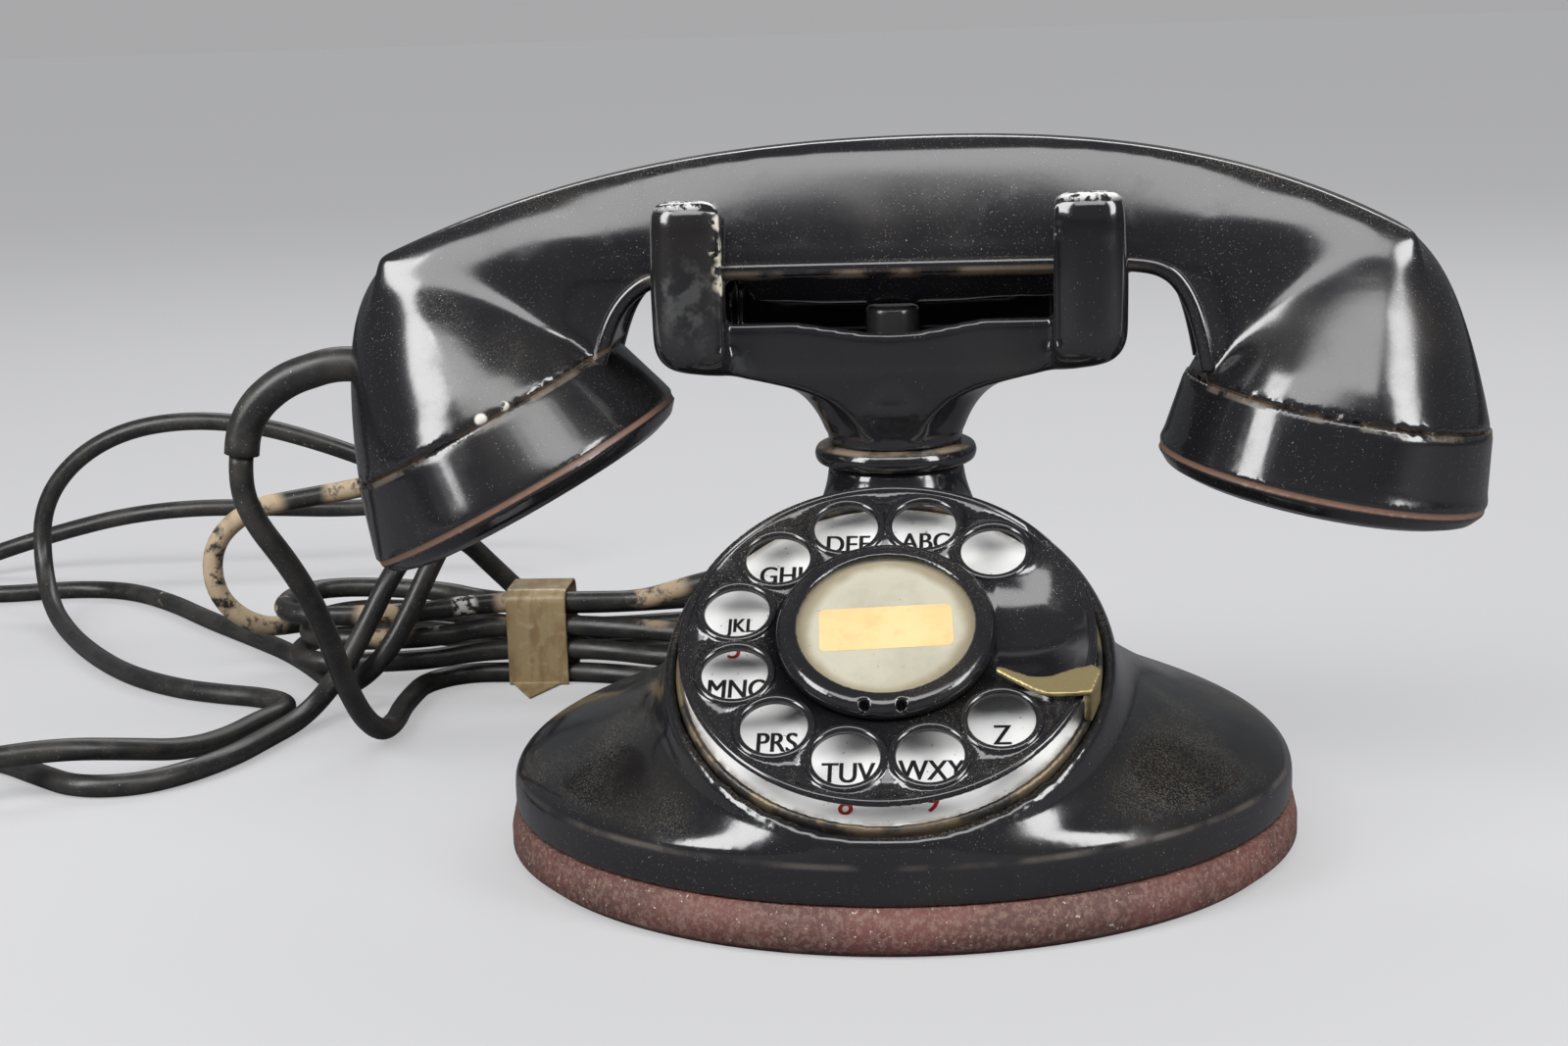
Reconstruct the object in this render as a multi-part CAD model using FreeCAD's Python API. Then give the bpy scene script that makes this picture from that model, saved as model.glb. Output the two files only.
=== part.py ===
"""Cradle desk telephone with a rotary dial, an oval foot and a one-piece handset.

Millimetres.  +X is to the right of someone who dials, -Y is towards them, +Z is up.
The origin is on the table, under the middle of the oval foot.
Every separate piece is written to parts/NAME.step.
"""
import FreeCAD
import Part
import math
import os

V = FreeCAD.Vector

# ---------------------------------------------------------------- driving sizes
# Fits and gaps
SEAT_GAP = 0.3          # between pieces of different bodies that stand face to face
RUN_FIT = 0.08          # radial clearance of a shaft or plunger in its bearing
SCREW_FIT = 0.05        # radial clearance of a screw in its hole

# Oval foot
FOOT_HALF_X = 77.7      # half length of the foot casting
FOOT_HALF_Y = 71.6      # half depth of the foot casting
COVER_BULGE_X = 1.0     # how far the leather band bulges past the casting's ends
COVER_BULGE_Y = 1.6     # and past its front and back
COVER_TOP = 9.0         # height of the leather band
COVER_FLOOR = 1.4       # thickness of the leather under the base plate
PLATE_THICK = 2.0       # steel base plate
SKIRT_TOP = 15.0        # top of the upright skirt
WALL = 3.2              # thickness of the casting
BOSS_R = 4.5            # screw bosses inside the casting
FOOT_SCREW_R = 1.6

# Dial
DIAL_TILT = 34.9        # slope of the dial face from level, degrees
DIAL_Y = -41.5          # middle of the finger wheel's face
DIAL_Z = 50.6
HOLE_RING_R = 28.7      # circle that the finger holes lie on
HOLE_R = 6.35           # finger hole
WHEEL_R = HOLE_RING_R + 8.9             # finger wheel, with metal left outside the holes
WHEEL_THICK = 1.3
BEAD_R = 0.8            # rolled rim of the wheel and of its holes
HOLE_COUNT = 10
HOLE_STEP = 30.0        # degrees between holes
FIRST_HOLE = 47.0       # direction of the hole for 1, from +X, degrees
BEZEL_R = WHEEL_R + 1.9 # dial case and its worn ring
BEZEL_TOP = -5.8        # top of the worn ring, from the wheel's face
PLATE_R = BEZEL_R - 1.3 # enamelled number plate
PLATE_SEAT = -7.2       # underside of the number plate
NUMBER_PLATE_THICK = 0.8
CASE_SEAT = -13.0       # ledge that the dial case hangs on
CASE_DEEP = 11.5        # how far the cup reaches below that ledge
CASE_R = 33.5
CASE_WALL = 1.2
RIM_R = BEZEL_R + 1.8   # rim of the casting round the dial
HUB_R = HOLE_RING_R - 8.5               # black ring round the card
CARD_R = HUB_R - 4.0    # window over the number card
HUB_RISE = 4.3          # height of that ring above the wheel's face
SHAFT_R = 3.0           # dial main shaft
STOP_ANGLE = -22.0      # where the finger stop's leg stands
STOP_RISE = 1.7         # underside of its blade above the wheel's face
STOP_THICK = 1.5        # thickness of the leg
STOP_WIDE = 5.6         # and its width along the wheel's rim

# Dial gear train
GEAR_PITCH = 2.0        # tooth spacing along the pitch circle
DRIVE_TEETH = 40
PINION_TEETH = 12
WORM_WHEEL_TEETH = 24
GEAR_THICK = 1.6
TOOTH = GEAR_PITCH / math.pi * 2        # height of a tooth, root to tip
PULSE_ANGLE = 200.0     # where the pulse gear's axis stands
WORM_R = 1.8
GOVERNOR_ANGLE = 260.0  # direction of the governor from the dial's middle
GOVERNOR_ARBOR_R = 0.8
BRIDGE_R = CASE_R - CASE_WALL - 2.3     # bridge over the gears, clear of the case's wall
SPRING_TURNS = 3
CARD_SEAT = 2.2         # ledge that the card lies on, above the wheel's face
CARD_THICK = 0.4
NOTCH_ANGLE = 10.0      # two notches for the tool that opens the card's holder
NOTCH_R = 0.9

# Neck, collar and cradle
AXIS_Y = 10.8           # neck, plunger and handset lie in this plane
NECK_R = 13.7
NECK_TOP = 73.8
NECK_BORE = 7.0
COLLAR_R = 16.3
COLLAR_TALL = 4.0
STUB_R = 13.6
TROUGH_FLOOR = 97.5
TROUGH_LIP = 103.9      # top of the trough's walls
TROUGH_DIP = 101.5      # and in the middle of the front one
TROUGH_HALF_Y = 16.0
TROUGH_WALL = 2.4
SADDLE_Z = 105.6        # flat between each pair of prongs
PRONG_IN_X = 31.6
PRONG_OUT_X = 46.0
PRONG_TOP = 128.3
PRONG_THICK = 8.6
PRONG_GAP = 0.8         # between a prong and the handle's side
PRONG_FOOT = 93.4       # underside of the prongs, where they meet the yoke
PRONG_LIFT = 2.4        # and how much higher it is at their outer side
RELIEF_DEEP = 2.6       # hollow between the prongs that lets the caps pass as the handset rises
RELIEF_R = 30.0

# Hook switch
PLUNGER_R = 5.3
STEM_R = 2.4
STEM_BUSH_R = 4.6
STEM_END = 35.0
PLUNGER_TRAVEL = 5.0
LEVER_ARM = 15.0
LEVER_HALF = 3.5
PIVOT_R = 1.5

# Handset
GRIP_HALF = 12.5        # half thickness of the handle at its lower lip
SPINE_HALF = 7.6        # and near its top
GRIP_LIP_Z = 113.3
BELLY_Z = 105.4         # lowest point of the grip
BELLY_RISE = 1.9        # how much higher its keel is beside the prongs
SPINE_Z = 138.5         # highest line of the handle
HANDLE_END_X = 101.0
HANDLE_END_Z = 117.9
BELL_RISE = 37.3        # height of each bell above its seam
CAP_DEEP = 14.4         # from the seam to the cap's worn lip
CAP_FACE = 5.2          # from that lip to the face
CAP_WALL = 3.0
SEAM_GAP = 0.0          # the cap screws down onto the cup's rim
CUP_DEEP = 12.0         # room for the capsule behind the seam
TRANSMITTER_R = 24.0
TRANSMITTER_TALL = 16.0
RECEIVER_R = 24.5
SLEEVE_ROOT = (-104.0, 10.8, 94.8)
SLEEVE_PATH = [SLEEVE_ROOT, (-113.5, 10.8, 95.8), (-124.5, 10.8, 92.5), (-133.4, 10.8, 85.4),
               (-134.6, 10.8, 77.2)]
SLEEVE_RADII = [0, 20, 22, 16, 0]
MOUTH_SEAM = (-82.6, 84.9)
MOUTH_TILT = 27.6       # degrees that the mouthpiece faces inwards
MOUTH_SEAM_R = 30.0
MOUTH_LIP_R = 34.6
EAR_SEAM = (87.4, 84.7)
EAR_TILT = -11.6
EAR_SEAM_R = 30.0
EAR_LIP_R = 32.7

# Cords
CORD_D = 5.0
SLEEVE_D = 7.2
BUSH_R = 4.4
BUSH_Z = 14.0
CORD_EXITS = {"handset_cord_bush": -16.0, "line_cord_bush": 16.0}
LIE_Z = 2.6             # middle of a cord that lies on the table
HANK_Y = 118.0          # the tied hank lies flat behind the foot, along X
HANK_LAYER = 6.0        # height from one layer of loops to the next
HANK_WAIST = 5.2        # half width where the tape draws the loops in
HANK_LOOPS = [(-9.0, -156.0, 18.0, 17.0), (-17.0, -153.0, 17.0, 18.0), (-6.0, -159.0, 19.0, 17.5)]
HANK_LEVEL = 34.0       # length of each loop beside its fold
HANK_START_X = -101.0   # the fall comes in under the tape
HANK_END_X = -80.0      # the waist reaches from here
HANK_WAIST_X = -108.0   # to here
TAPE_FROM, TAPE_TO = -102.0, -87.0
TAPE_THICK = 0.5
TAPE_SLACK = 0.4        # between the tape and the cords it holds
FERRULE_R = 2.9
FERRULE_LONG = 9.0

DIAL = FreeCAD.Placement(V(0, DIAL_Y, DIAL_Z), FreeCAD.Rotation(V(1, 0, 0), DIAL_TILT))
CASE_FLOOR = CASE_SEAT - CASE_DEEP
COLLAR_TOP = NECK_TOP + COLLAR_TALL
PLATE_TOP = COVER_FLOOR + PLATE_THICK
BUSH_END_Y = FOOT_HALF_Y + 2.5
PULSE_ARM = (DRIVE_TEETH + PINION_TEETH) * GEAR_PITCH / (2 * math.pi)
GEAR_PHASE = PULSE_ANGLE % (360.0 / DRIVE_TEETH)
FOOT_SCREW_END = PLATE_TOP + 8.0

# Routes of the cords, from the handset, from the hank and from the foot
HANK_TOP = LIE_Z + len(HANK_LOOPS) * HANK_LAYER
HANDSET_FALL = [
    (-134.7, AXIS_Y, 76.9), (-135.6, AXIS_Y, 70.5), (-133.2, 12, 62.5), (-128.3, 15.5, 53.5),
    (-125.3, 21, 44),
    (-124.3, 28, 34.5), (-124.2, 35.5, 25), (-123.9, 43, 16), (-123, 50.5, 8.4), (-121.6, 59, 3.4),
    (-121.2, 70, LIE_Z), (-122.4, 81, LIE_Z), (-122.4, 92.5, LIE_Z), (-121.8, 104, LIE_Z),
    (-113.2, 112.8, LIE_Z), (HANK_START_X, HANK_Y - HANK_WAIST, LIE_Z)]
HANDSET_RISE = [
    (HANK_END_X, HANK_Y - HANK_WAIST, HANK_TOP), (-68.5, HANK_Y - HANK_WAIST, HANK_TOP),
    (-55.5, 110, 25), (-42.5, 105.5, 29), (-30.5, 100.5, 29), (-21.5, 96.5, 23.5), (-16.8, 90.5, 17.5),
    (-16, 82.5, 14), (CORD_EXITS["handset_cord_bush"], BUSH_END_Y, BUSH_Z)]
LINE_ROUTE = [
    (CORD_EXITS["line_cord_bush"], BUSH_END_Y, BUSH_Z), (16, 82, 13.6), (15.5, 92, 9.4), (14, 107, 4),
    (8.8, 123, LIE_Z), (-4.5, 138, LIE_Z),
    (-25, 144, LIE_Z), (-56, 143.5, LIE_Z), (-82, 143.5, 3.5), (-99.5, 142.5, 11), (-109.5, 135.5, 24),
    (-115, 125, 34.5), (-118.5, 113, 38.5), (-122.5, 103.5, 38), (-127, 94.5, 31), (-132, 90, 20.5),
    (-137, 86, 11.5), (-141.8, 80, 5), (-145, 70.5, LIE_Z), (-148.3, 58, LIE_Z), (-151.8, 44, LIE_Z),
    (-158.5, 31, LIE_Z), (-167.5, 22, LIE_Z), (-180.5, 21, LIE_Z), (-191.5, 29.5, LIE_Z),
    (-204.5, 40.5, LIE_Z), (-221, 48, LIE_Z), (-239, 49, LIE_Z), (-253, 38.5, LIE_Z), (-254.5, 21.5, LIE_Z),
    (-242, 9.5, LIE_Z), (-226, 11, 4.5), (-211, 13.5, 8.5), (-196, 17, 10.6), (-183, 23, 10.6),
    (-172, 32.5, 7.6), (-163.5, 43.5, 4), (-157.8, 57, LIE_Z), (-154.2, 71, LIE_Z), (-150.6, 79, LIE_Z),
    (-151.5, 86, LIE_Z), (-159.5, 91.5, LIE_Z), (-171.5, 95, LIE_Z), (-184, 100.5, LIE_Z),
    (-200, 113, LIE_Z), (-216, 132.5, LIE_Z), (-232, 157, LIE_Z), (-244.5, 178, 5), (-250.5, 189.5, 16),
    (-249.5, 191, 31), (-240, 190.5, 43.5), (-225, 190, 52), (-207, 190, 55), (-188, 191, 53.5),
    (-171, 194, 48), (-155.5, 200, 40.5), (-141, 209, 32), (-127, 221.5, 25), (-118.5, 236, 20.5),
    (-123.5, 251.5, 18.5), (-139, 257.5, 18), (-157, 252.5, 18), (-176, 246.5, 17.5), (-200, 241, 19.5),
    (-222, 240, 20), (-243, 240, 18), (-262, 241, 13.5), (-279.5, 241.5, 8.5), (-293.5, 233, 4.5),
    (-296, 217, LIE_Z), (-285.5, 204.5, LIE_Z), (-268, 203, LIE_Z), (-250, 209, LIE_Z),
    (-232, 206.5, LIE_Z), (-214, 190.5, LIE_Z), (-196.7, 169.5, LIE_Z), (-178, 149.5, LIE_Z),
    (-163, 132.5, LIE_Z), (-150.5, 113.5, LIE_Z), (-144, 101.5, LIE_Z), (-136, 93.3, 5.5),
    (-127.5, 91.3, 13.5), (-121.3, 94, 24.5), (-116.4, 97.5, 35.2), (-111.5, 103, 44),
    (-105.5, 111.5, 50.5), (-103.8, 124.5, 54), (-111.5, 136, 53.5), (-125.5, 137, 50), (-139, 130.5, 47),
    (-154, 124, 45.5), (-168.3, 119.5, 43.8), (-178.3, 119, 34.6), (-178.3, 119.5, 21),
    (-169.5, 124.5, 11.5), (-159.5, 133.5, 10.8), (-149.5, 142, 10), (-137.5, 148, 6.5), (-124, 151.5, 3.2),
    (-108, 152.6, LIE_Z), (-88, 153.5, LIE_Z), (-68.5, 158.5, LIE_Z), (-51, 158.5, LIE_Z)]

PARTS = {}


# ---------------------------------------------------------------- helpers
def keep(name, *shapes):
    """Store the solids of one piece, or of one group of alike pieces."""
    solids = [solid for shape in shapes for solid in shape.Solids]
    PARTS[name] = Part.makeCompound(solids) if len(solids) > 1 else solids[0]
    return PARTS[name]


def fuse(*shapes):
    """One solid out of several, without the seams between them."""
    return shapes[0].multiFuse(list(shapes[1:])).removeSplitter()


def cylinder(radius, z0, z1, x=0.0, y=0.0):
    return Part.makeCylinder(radius, z1 - z0, V(x, y, z0))


def ring(outer, inner, z0, z1, x=0.0, y=0.0):
    return cylinder(outer, z0, z1, x, y).cut(cylinder(inner, z0 - 1, z1 + 1, x, y))


def box(x0, x1, y0, y1, z0, z1):
    return Part.makeBox(x1 - x0, y1 - y0, z1 - z0, V(x0, y0, z0))


def rod(radius, start, end):
    """A round bar between two points."""
    a, b = V(*start), V(*end)
    return Part.makeCylinder(radius, (b - a).Length, a, b - a)


def turned(points, x=0.0, y=0.0):
    """A turned piece: points are (radius, height), closed, about an upright axis."""
    corners = [V(r, 0, z) for r, z in points]
    wire = Part.makePolygon(corners + corners[:1])
    return Part.Face(wire).revolve(V(0, 0, 0), V(0, 0, 1), 360).translated(V(x, y, 0))


def turned_curve(curve, closing, x=0.0, y=0.0):
    """A turned piece: a smooth curve of (radius, height) points, closed by straight edges."""
    spline = Part.BSplineCurve()
    spline.interpolate([V(r, 0, z) for r, z in curve])
    corners = [curve[-1]] + list(closing) + [curve[0]]
    edges = [Part.makeLine(V(a[0], 0, a[1]), V(b[0], 0, b[1])) for a, b in zip(corners, corners[1:])]
    face = Part.Face(Part.Wire([spline.toShape()] + edges))
    return face.revolve(V(0, 0, 0), V(0, 0, 1), 360).translated(V(x, y, 0))


def side_plate(outline, y0, y1):
    """An outline in the XZ plane, given as edges or as corner points, carried from y0 to y1."""
    if isinstance(outline[0], tuple):
        corners = [V(x, y0, z) for x, z in outline]
        wire = Part.makePolygon(corners + corners[:1])
    else:
        wire = Part.Wire(Part.__sortEdges__(outline)).translated(V(0, y0, 0))
    return Part.Face(wire).extrude(V(0, y1 - y0, 0))


def end_plate(outline, x0, x1):
    """An outline in the YZ plane, given as corner points, carried from x0 to x1."""
    corners = [V(x0, y, z) for y, z in outline]
    return Part.Face(Part.makePolygon(corners + corners[:1])).extrude(V(x1 - x0, 0, 0))


def smooth(points):
    """A smooth curve through (x, z) points in the plane y = 0."""
    curve = Part.BSplineCurve()
    curve.interpolate([V(x, 0, z) for x, z in points])
    return curve.toShape()


def straight(a, b):
    return Part.makeLine(V(a[0], 0, a[1]), V(b[0], 0, b[1]))


def rounded_path(points, radii, closed=False):
    """Straight edges between points, with a tangent arc at each corner that has a radius."""
    count = len(points)
    points = [V(*q) for q in points]
    starts, ends, arcs = list(points), list(points), [None] * count
    corners = range(count) if closed else range(1, count - 1)
    for i in corners:
        here, before, after = points[i], points[i - 1], points[(i + 1) % count]
        back, on = (before - here).normalize(), (after - here).normalize()
        if radii[i] <= 0:
            continue
        half = back.getAngle(on) / 2
        reach = radii[i] / math.tan(half)
        centre = here + (back + on).normalize() * (radii[i] / math.sin(half))
        ends[i], starts[i] = here + back * reach, here + on * reach
        middle = centre + (here - centre).normalize() * radii[i]
        arcs[i] = Part.Arc(ends[i], middle, starts[i]).toShape()
    edges = []
    for i in range(count if closed else count - 1):
        a, b = starts[i], ends[(i + 1) % count]
        if a.distanceToPoint(b) > 1e-4:
            edges.append(Part.LineSegment(a, b).toShape())
        if arcs[(i + 1) % count]:
            edges.append(arcs[(i + 1) % count])
    return Part.Wire(edges)


def side_form(corners, y0, y1):
    """Like side_plate, with rounded corners: (x, z, radius)."""
    path = rounded_path([(x, y0, z) for x, z, _ in corners], [r for _, _, r in corners], True)
    return Part.Face(path).extrude(V(0, y1 - y0, 0))


def end_form(corners, x0, x1):
    """Like end_plate, with rounded corners: (y, z, radius)."""
    path = rounded_path([(x0, y, z) for y, z, _ in corners], [r for _, _, r in corners], True)
    return Part.Face(path).extrude(V(x1 - x0, 0, 0))


def flat_form(corners, z0, z1):
    """An outline in the XY plane with rounded corners: (x, y, radius)."""
    path = rounded_path([(x, y, z0) for x, y, _ in corners], [r for _, _, r in corners], True)
    return Part.Face(path).extrude(V(0, 0, z1 - z0))


def oval(half_x, half_y, z):
    """An ellipse as a closed wire, whichever of its halves is the longer."""
    long_end, short_end = V(half_x, 0, z), V(0, half_y, z)
    if half_y > half_x:
        long_end, short_end = V(0, half_y, z), V(-half_x, 0, z)
    return Part.Wire([Part.Ellipse(long_end, short_end, V(0, 0, z)).toShape()])


def oval_slab(half_x, half_y, z0, z1):
    return Part.Face(oval(half_x, half_y, z0)).extrude(V(0, 0, z1 - z0))


def on_dial(shape):
    """Bring a piece from the dial's own frame, with z out of its face, to its place."""
    moved = shape.copy()
    moved.Placement = DIAL.multiply(moved.Placement)
    return moved


def polar(radius, degrees, z=0.0):
    turn = math.radians(degrees)
    return V(radius * math.cos(turn), radius * math.sin(turn), z)


def mirrored_x(shape):
    return shape.mirror(V(0, 0, 0), V(1, 0, 0))


# ---------------------------------------------------------------- foot casting
# Sections of the casting on planes that rise from the front line of the foot to the dial's
# rim: (slope in degrees, half width, length, how much narrower behind, height at the front)
RIM_FRONT_Z = 21.2
BODY_SECTIONS = [
    (0.0, FOOT_HALF_X, 2 * FOOT_HALF_Y, 0.0, COVER_TOP),
    (0.0, FOOT_HALF_X, 2 * FOOT_HALF_Y, 0.0, SKIRT_TOP),
    (1.6, FOOT_HALF_X - 2.6, 2 * FOOT_HALF_Y - 4.0, 0.0, SKIRT_TOP + 2.4),
    (4.1, 66.5, 128.5, 0.03, 19.0),
    (7.7, 56.8, 117.5, 0.06, 20.0),
    (13.2, 48.6, 109.0, 0.10, 20.6),
    (22.0, 43.6, 102.0, 0.12, 20.9),
    (DIAL_TILT, RIM_R, 2 * RIM_R, 0.0, RIM_FRONT_Z),
]
# The flared neck: (radius, height)
NECK_FLARE = [(NECK_R, NECK_TOP), (13.9, 70.5), (15.3, 66.0), (17.6, 60.0), (21.0, 51.0), (25.0, 42.0)]


def body_section(slope, half_width, length, narrowing, front_z, inset=0.0, count=24):
    """Closed curve on a plane that rises from the front line of the foot."""
    turn = math.radians(slope)
    points = []
    for i in range(count):
        t = 2 * math.pi * i / count
        x = (half_width - inset) * math.sin(t) * (1 + narrowing * math.cos(t))
        s = length / 2 - (length / 2 - inset) * math.cos(t)
        points.append(V(x, s * math.cos(turn) - FOOT_HALF_Y, front_z + s * math.sin(turn)))
    curve = Part.BSplineCurve()
    curve.interpolate(points, PeriodicFlag=True)
    return Part.Wire([curve.toShape()])


def make_body():
    wires = [body_section(*row) for row in BODY_SECTIONS]
    skirt = Part.makeLoft(wires[:2], True, True)
    crown = Part.makeLoft(wires[1:], True, False)
    low = NECK_FLARE[-1][1]
    neck = turned_curve(NECK_FLARE, [(0, low), (0, NECK_TOP)], 0, AXIS_Y)
    return fuse(skirt, crown, neck)


def make_hollow():
    """The room inside the casting: its own sections, a wall's thickness in."""
    rows = [(slope, a, b, n, z) for slope, a, b, n, z in BODY_SECTIONS[:-1]]
    wires = [body_section(*row, inset=WALL) for row in rows]
    low = wires[0].translated(V(0, 0, -1))
    straight_part = Part.makeLoft([low, wires[1]], True, True)
    domed_part = Part.makeLoft(wires[1:], True, False)
    return straight_part.fuse(domed_part).translated(V(0, 0, -WALL / 2))


def boss_places():
    return [(-52.0, 14.0), (52.0, 14.0), (0.0, 55.0)]


def make_base_shell():
    body = make_body()
    shell = body.cut(make_hollow())
    for x, y in boss_places():
        boss = cylinder(BOSS_R, COVER_TOP, 60, x, y).common(body)
        boss = boss.fuse(cylinder(BOSS_R, PLATE_TOP, COVER_TOP + 1, x, y))
        shell = shell.fuse(boss)
    for x, y in boss_places():
        shell = shell.cut(cylinder(FOOT_SCREW_R + SCREW_FIT, PLATE_TOP - 1, FOOT_SCREW_END, x, y))
    for x in CORD_EXITS.values():
        shell = shell.cut(rod(BUSH_R, (x, FOOT_HALF_Y - 16, BUSH_Z), (x, FOOT_HALF_Y + 5, BUSH_Z)))
    shell = shell.cut(cylinder(NECK_BORE, 36, NECK_TOP + 1, 0, AXIS_Y))
    shell = shell.cut(on_dial(cylinder(BEZEL_R + SCREW_FIT, CASE_SEAT, 30)))
    return shell.cut(on_dial(cylinder(CASE_R + SEAT_GAP, CASE_FLOOR - 2, 30)))


def make_foot_plate():
    keep("base_shell", make_base_shell())
    # Leather band and underside: a shallow tray whose side bulges past the casting
    lower = (FOOT_HALF_X + COVER_BULGE_X, FOOT_HALF_Y + COVER_BULGE_Y)
    rings = [(FOOT_HALF_X - 1.5, FOOT_HALF_Y - 0.6, 0.0),
             (lower[0], lower[1], COVER_TOP * 0.22),
             (lower[0], lower[1], COVER_TOP * 0.55),
             (FOOT_HALF_X + 0.1, FOOT_HALF_Y + 0.1, COVER_TOP)]
    tray = Part.makeLoft([oval(*row) for row in rings], True, True)
    tray = tray.cut(oval_slab(FOOT_HALF_X - WALL, FOOT_HALF_Y - WALL, COVER_FLOOR, COVER_TOP + 1))
    inset = WALL + SCREW_FIT
    plate = oval_slab(FOOT_HALF_X - inset, FOOT_HALF_Y - inset, COVER_FLOOR, PLATE_TOP)
    screws = []
    for x, y in boss_places():
        hole = cylinder(FOOT_SCREW_R + SCREW_FIT, -1, PLATE_TOP + 1, x, y)
        head_room = cylinder(2.2 * FOOT_SCREW_R, -1, COVER_FLOOR, x, y)
        plate = plate.cut(hole)
        tray = tray.cut(head_room)
        head = cylinder(2 * FOOT_SCREW_R, COVER_FLOOR - 1.1, COVER_FLOOR, x, y)
        screws.append(head.fuse(cylinder(FOOT_SCREW_R, COVER_FLOOR, FOOT_SCREW_END - 0.5, x, y)))
    keep("bottom_cover", tray)
    keep("bottom_plate", plate)
    keep("bottom_screws", *screws)


# ---------------------------------------------------------------- neck, collar and cradle
def make_cradle():
    collar = turned([(NECK_BORE, NECK_TOP), (COLLAR_R - 1.3, NECK_TOP), (COLLAR_R - 0.4, NECK_TOP + 0.6),
                     (COLLAR_R, NECK_TOP + COLLAR_TALL / 2), (COLLAR_R - 0.4, COLLAR_TOP - 0.6),
                     (COLLAR_R - 1.3, COLLAR_TOP), (NECK_BORE, COLLAR_TOP)], 0, AXIS_Y)
    keep("neck_collar", collar)

    # Yoke: the arms' side view, carried across, over a flared round stub
    arm = PRONG_IN_X + 1.0
    lip = [(-arm, TROUGH_LIP), (-18, TROUGH_LIP), (1.5, TROUGH_DIP), (16, TROUGH_LIP - 0.3),
           (arm, TROUGH_LIP)]
    under = [(arm, PRONG_FOOT - 0.1), (26, 91.6), (19.6, 88.9), (15.4, 84.0), (STUB_R + 0.3, 80.5)]
    left_under = [(-x, z) for x, z in reversed(under)]
    top = [(arm, TROUGH_LIP), (-arm, TROUGH_LIP)]
    outline = [straight(*top), straight(top[0], under[0]), smooth(under),
               straight(under[-1], left_under[0]),
               smooth(left_under), straight(left_under[-1], top[1])]
    yoke = side_plate(outline, AXIS_Y - TROUGH_HALF_Y, AXIS_Y + TROUGH_HALF_Y)
    dip = [smooth(lip), straight(lip[-1], (arm, TROUGH_LIP + 2)),
           straight((arm, TROUGH_LIP + 2), (-arm, TROUGH_LIP + 2)),
           straight((-arm, TROUGH_LIP + 2), lip[0])]
    yoke = yoke.cut(side_plate(dip, AXIS_Y - TROUGH_HALF_Y - 1, AXIS_Y))
    flank = [(AXIS_Y - TROUGH_HALF_Y, 110), (AXIS_Y - TROUGH_HALF_Y, 94), (AXIS_Y - STUB_R - 0.6, 84.5),
             (AXIS_Y - STUB_R + 0.2, 80.4), (AXIS_Y + STUB_R - 0.2, 80.4), (AXIS_Y + STUB_R + 0.6, 84.5),
             (AXIS_Y + TROUGH_HALF_Y, 94), (AXIS_Y + TROUGH_HALF_Y, 110)]
    yoke = yoke.common(end_plate(flank, -60, 60))
    low, high = COLLAR_TOP, TROUGH_FLOOR - 1
    flare = [(STUB_R, low)] + [(x + 0.2, z) for x, z in reversed(under)] + [(1.4 * arm, PRONG_FOOT + 2)]
    bowl = turned_curve(flare, [(1.4 * arm, TROUGH_LIP), (0, TROUGH_LIP), (0, low)], 0, AXIS_Y)
    stub = turned_curve([(STUB_R, low), (STUB_R, 80.5), (15.2, 84.6), (TROUGH_HALF_Y - 0.4, 88.0)],
                        [(TROUGH_HALF_Y - 0.4, high), (0, high), (0, low)], 0, AXIS_Y)
    yoke = fuse(yoke.common(bowl), stub)

    # Prongs: a U across the handle at each end of the yoke, rounded at its tips and its foot
    half = GRIP_HALF + PRONG_GAP
    out = half + PRONG_THICK
    tip = PRONG_THICK * 0.42
    u_shape = [(AXIS_Y - out, PRONG_FOOT, 6), (AXIS_Y + out, PRONG_FOOT, 6), (AXIS_Y + out, PRONG_TOP, tip),
               (AXIS_Y + half, PRONG_TOP, tip), (AXIS_Y + half, SADDLE_Z, 2), (AXIS_Y - half, SADDLE_Z, 2),
               (AXIS_Y - half, PRONG_TOP, tip), (AXIS_Y - out, PRONG_TOP, tip)]
    face = [(PRONG_IN_X, PRONG_FOOT, 0), (PRONG_OUT_X - 0.3, PRONG_FOOT + PRONG_LIFT, 6),
            (PRONG_OUT_X, 112, 60), (PRONG_OUT_X - 0.6, PRONG_TOP, 3), (PRONG_IN_X + 0.4, PRONG_TOP, 3),
            (PRONG_IN_X, 112, 60)]
    cheek = end_form(u_shape, PRONG_IN_X - 1, PRONG_OUT_X + 1)
    cheek = cheek.common(side_form(face, AXIS_Y - out - 1, AXIS_Y + out + 1))
    trough = box(-PRONG_IN_X - 3, PRONG_IN_X + 3, AXIS_Y - TROUGH_HALF_Y + TROUGH_WALL,
                 AXIS_Y + TROUGH_HALF_Y - TROUGH_WALL, TROUGH_FLOOR, PRONG_TOP)
    cradle = fuse(yoke, cheek, mirrored_x(cheek)).cut(trough)
    cradle = cradle.cut(cylinder(STEM_BUSH_R, COLLAR_TOP - 1, TROUGH_FLOOR + 1, 0, AXIS_Y))
    relief = cylinder(RELIEF_R, PRONG_FOOT - 3, SADDLE_Z + 3, PRONG_OUT_X - RELIEF_DEEP + RELIEF_R, AXIS_Y)
    cradle = cradle.cut(relief).cut(mirrored_x(relief))
    keep("cradle", cradle)

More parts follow.
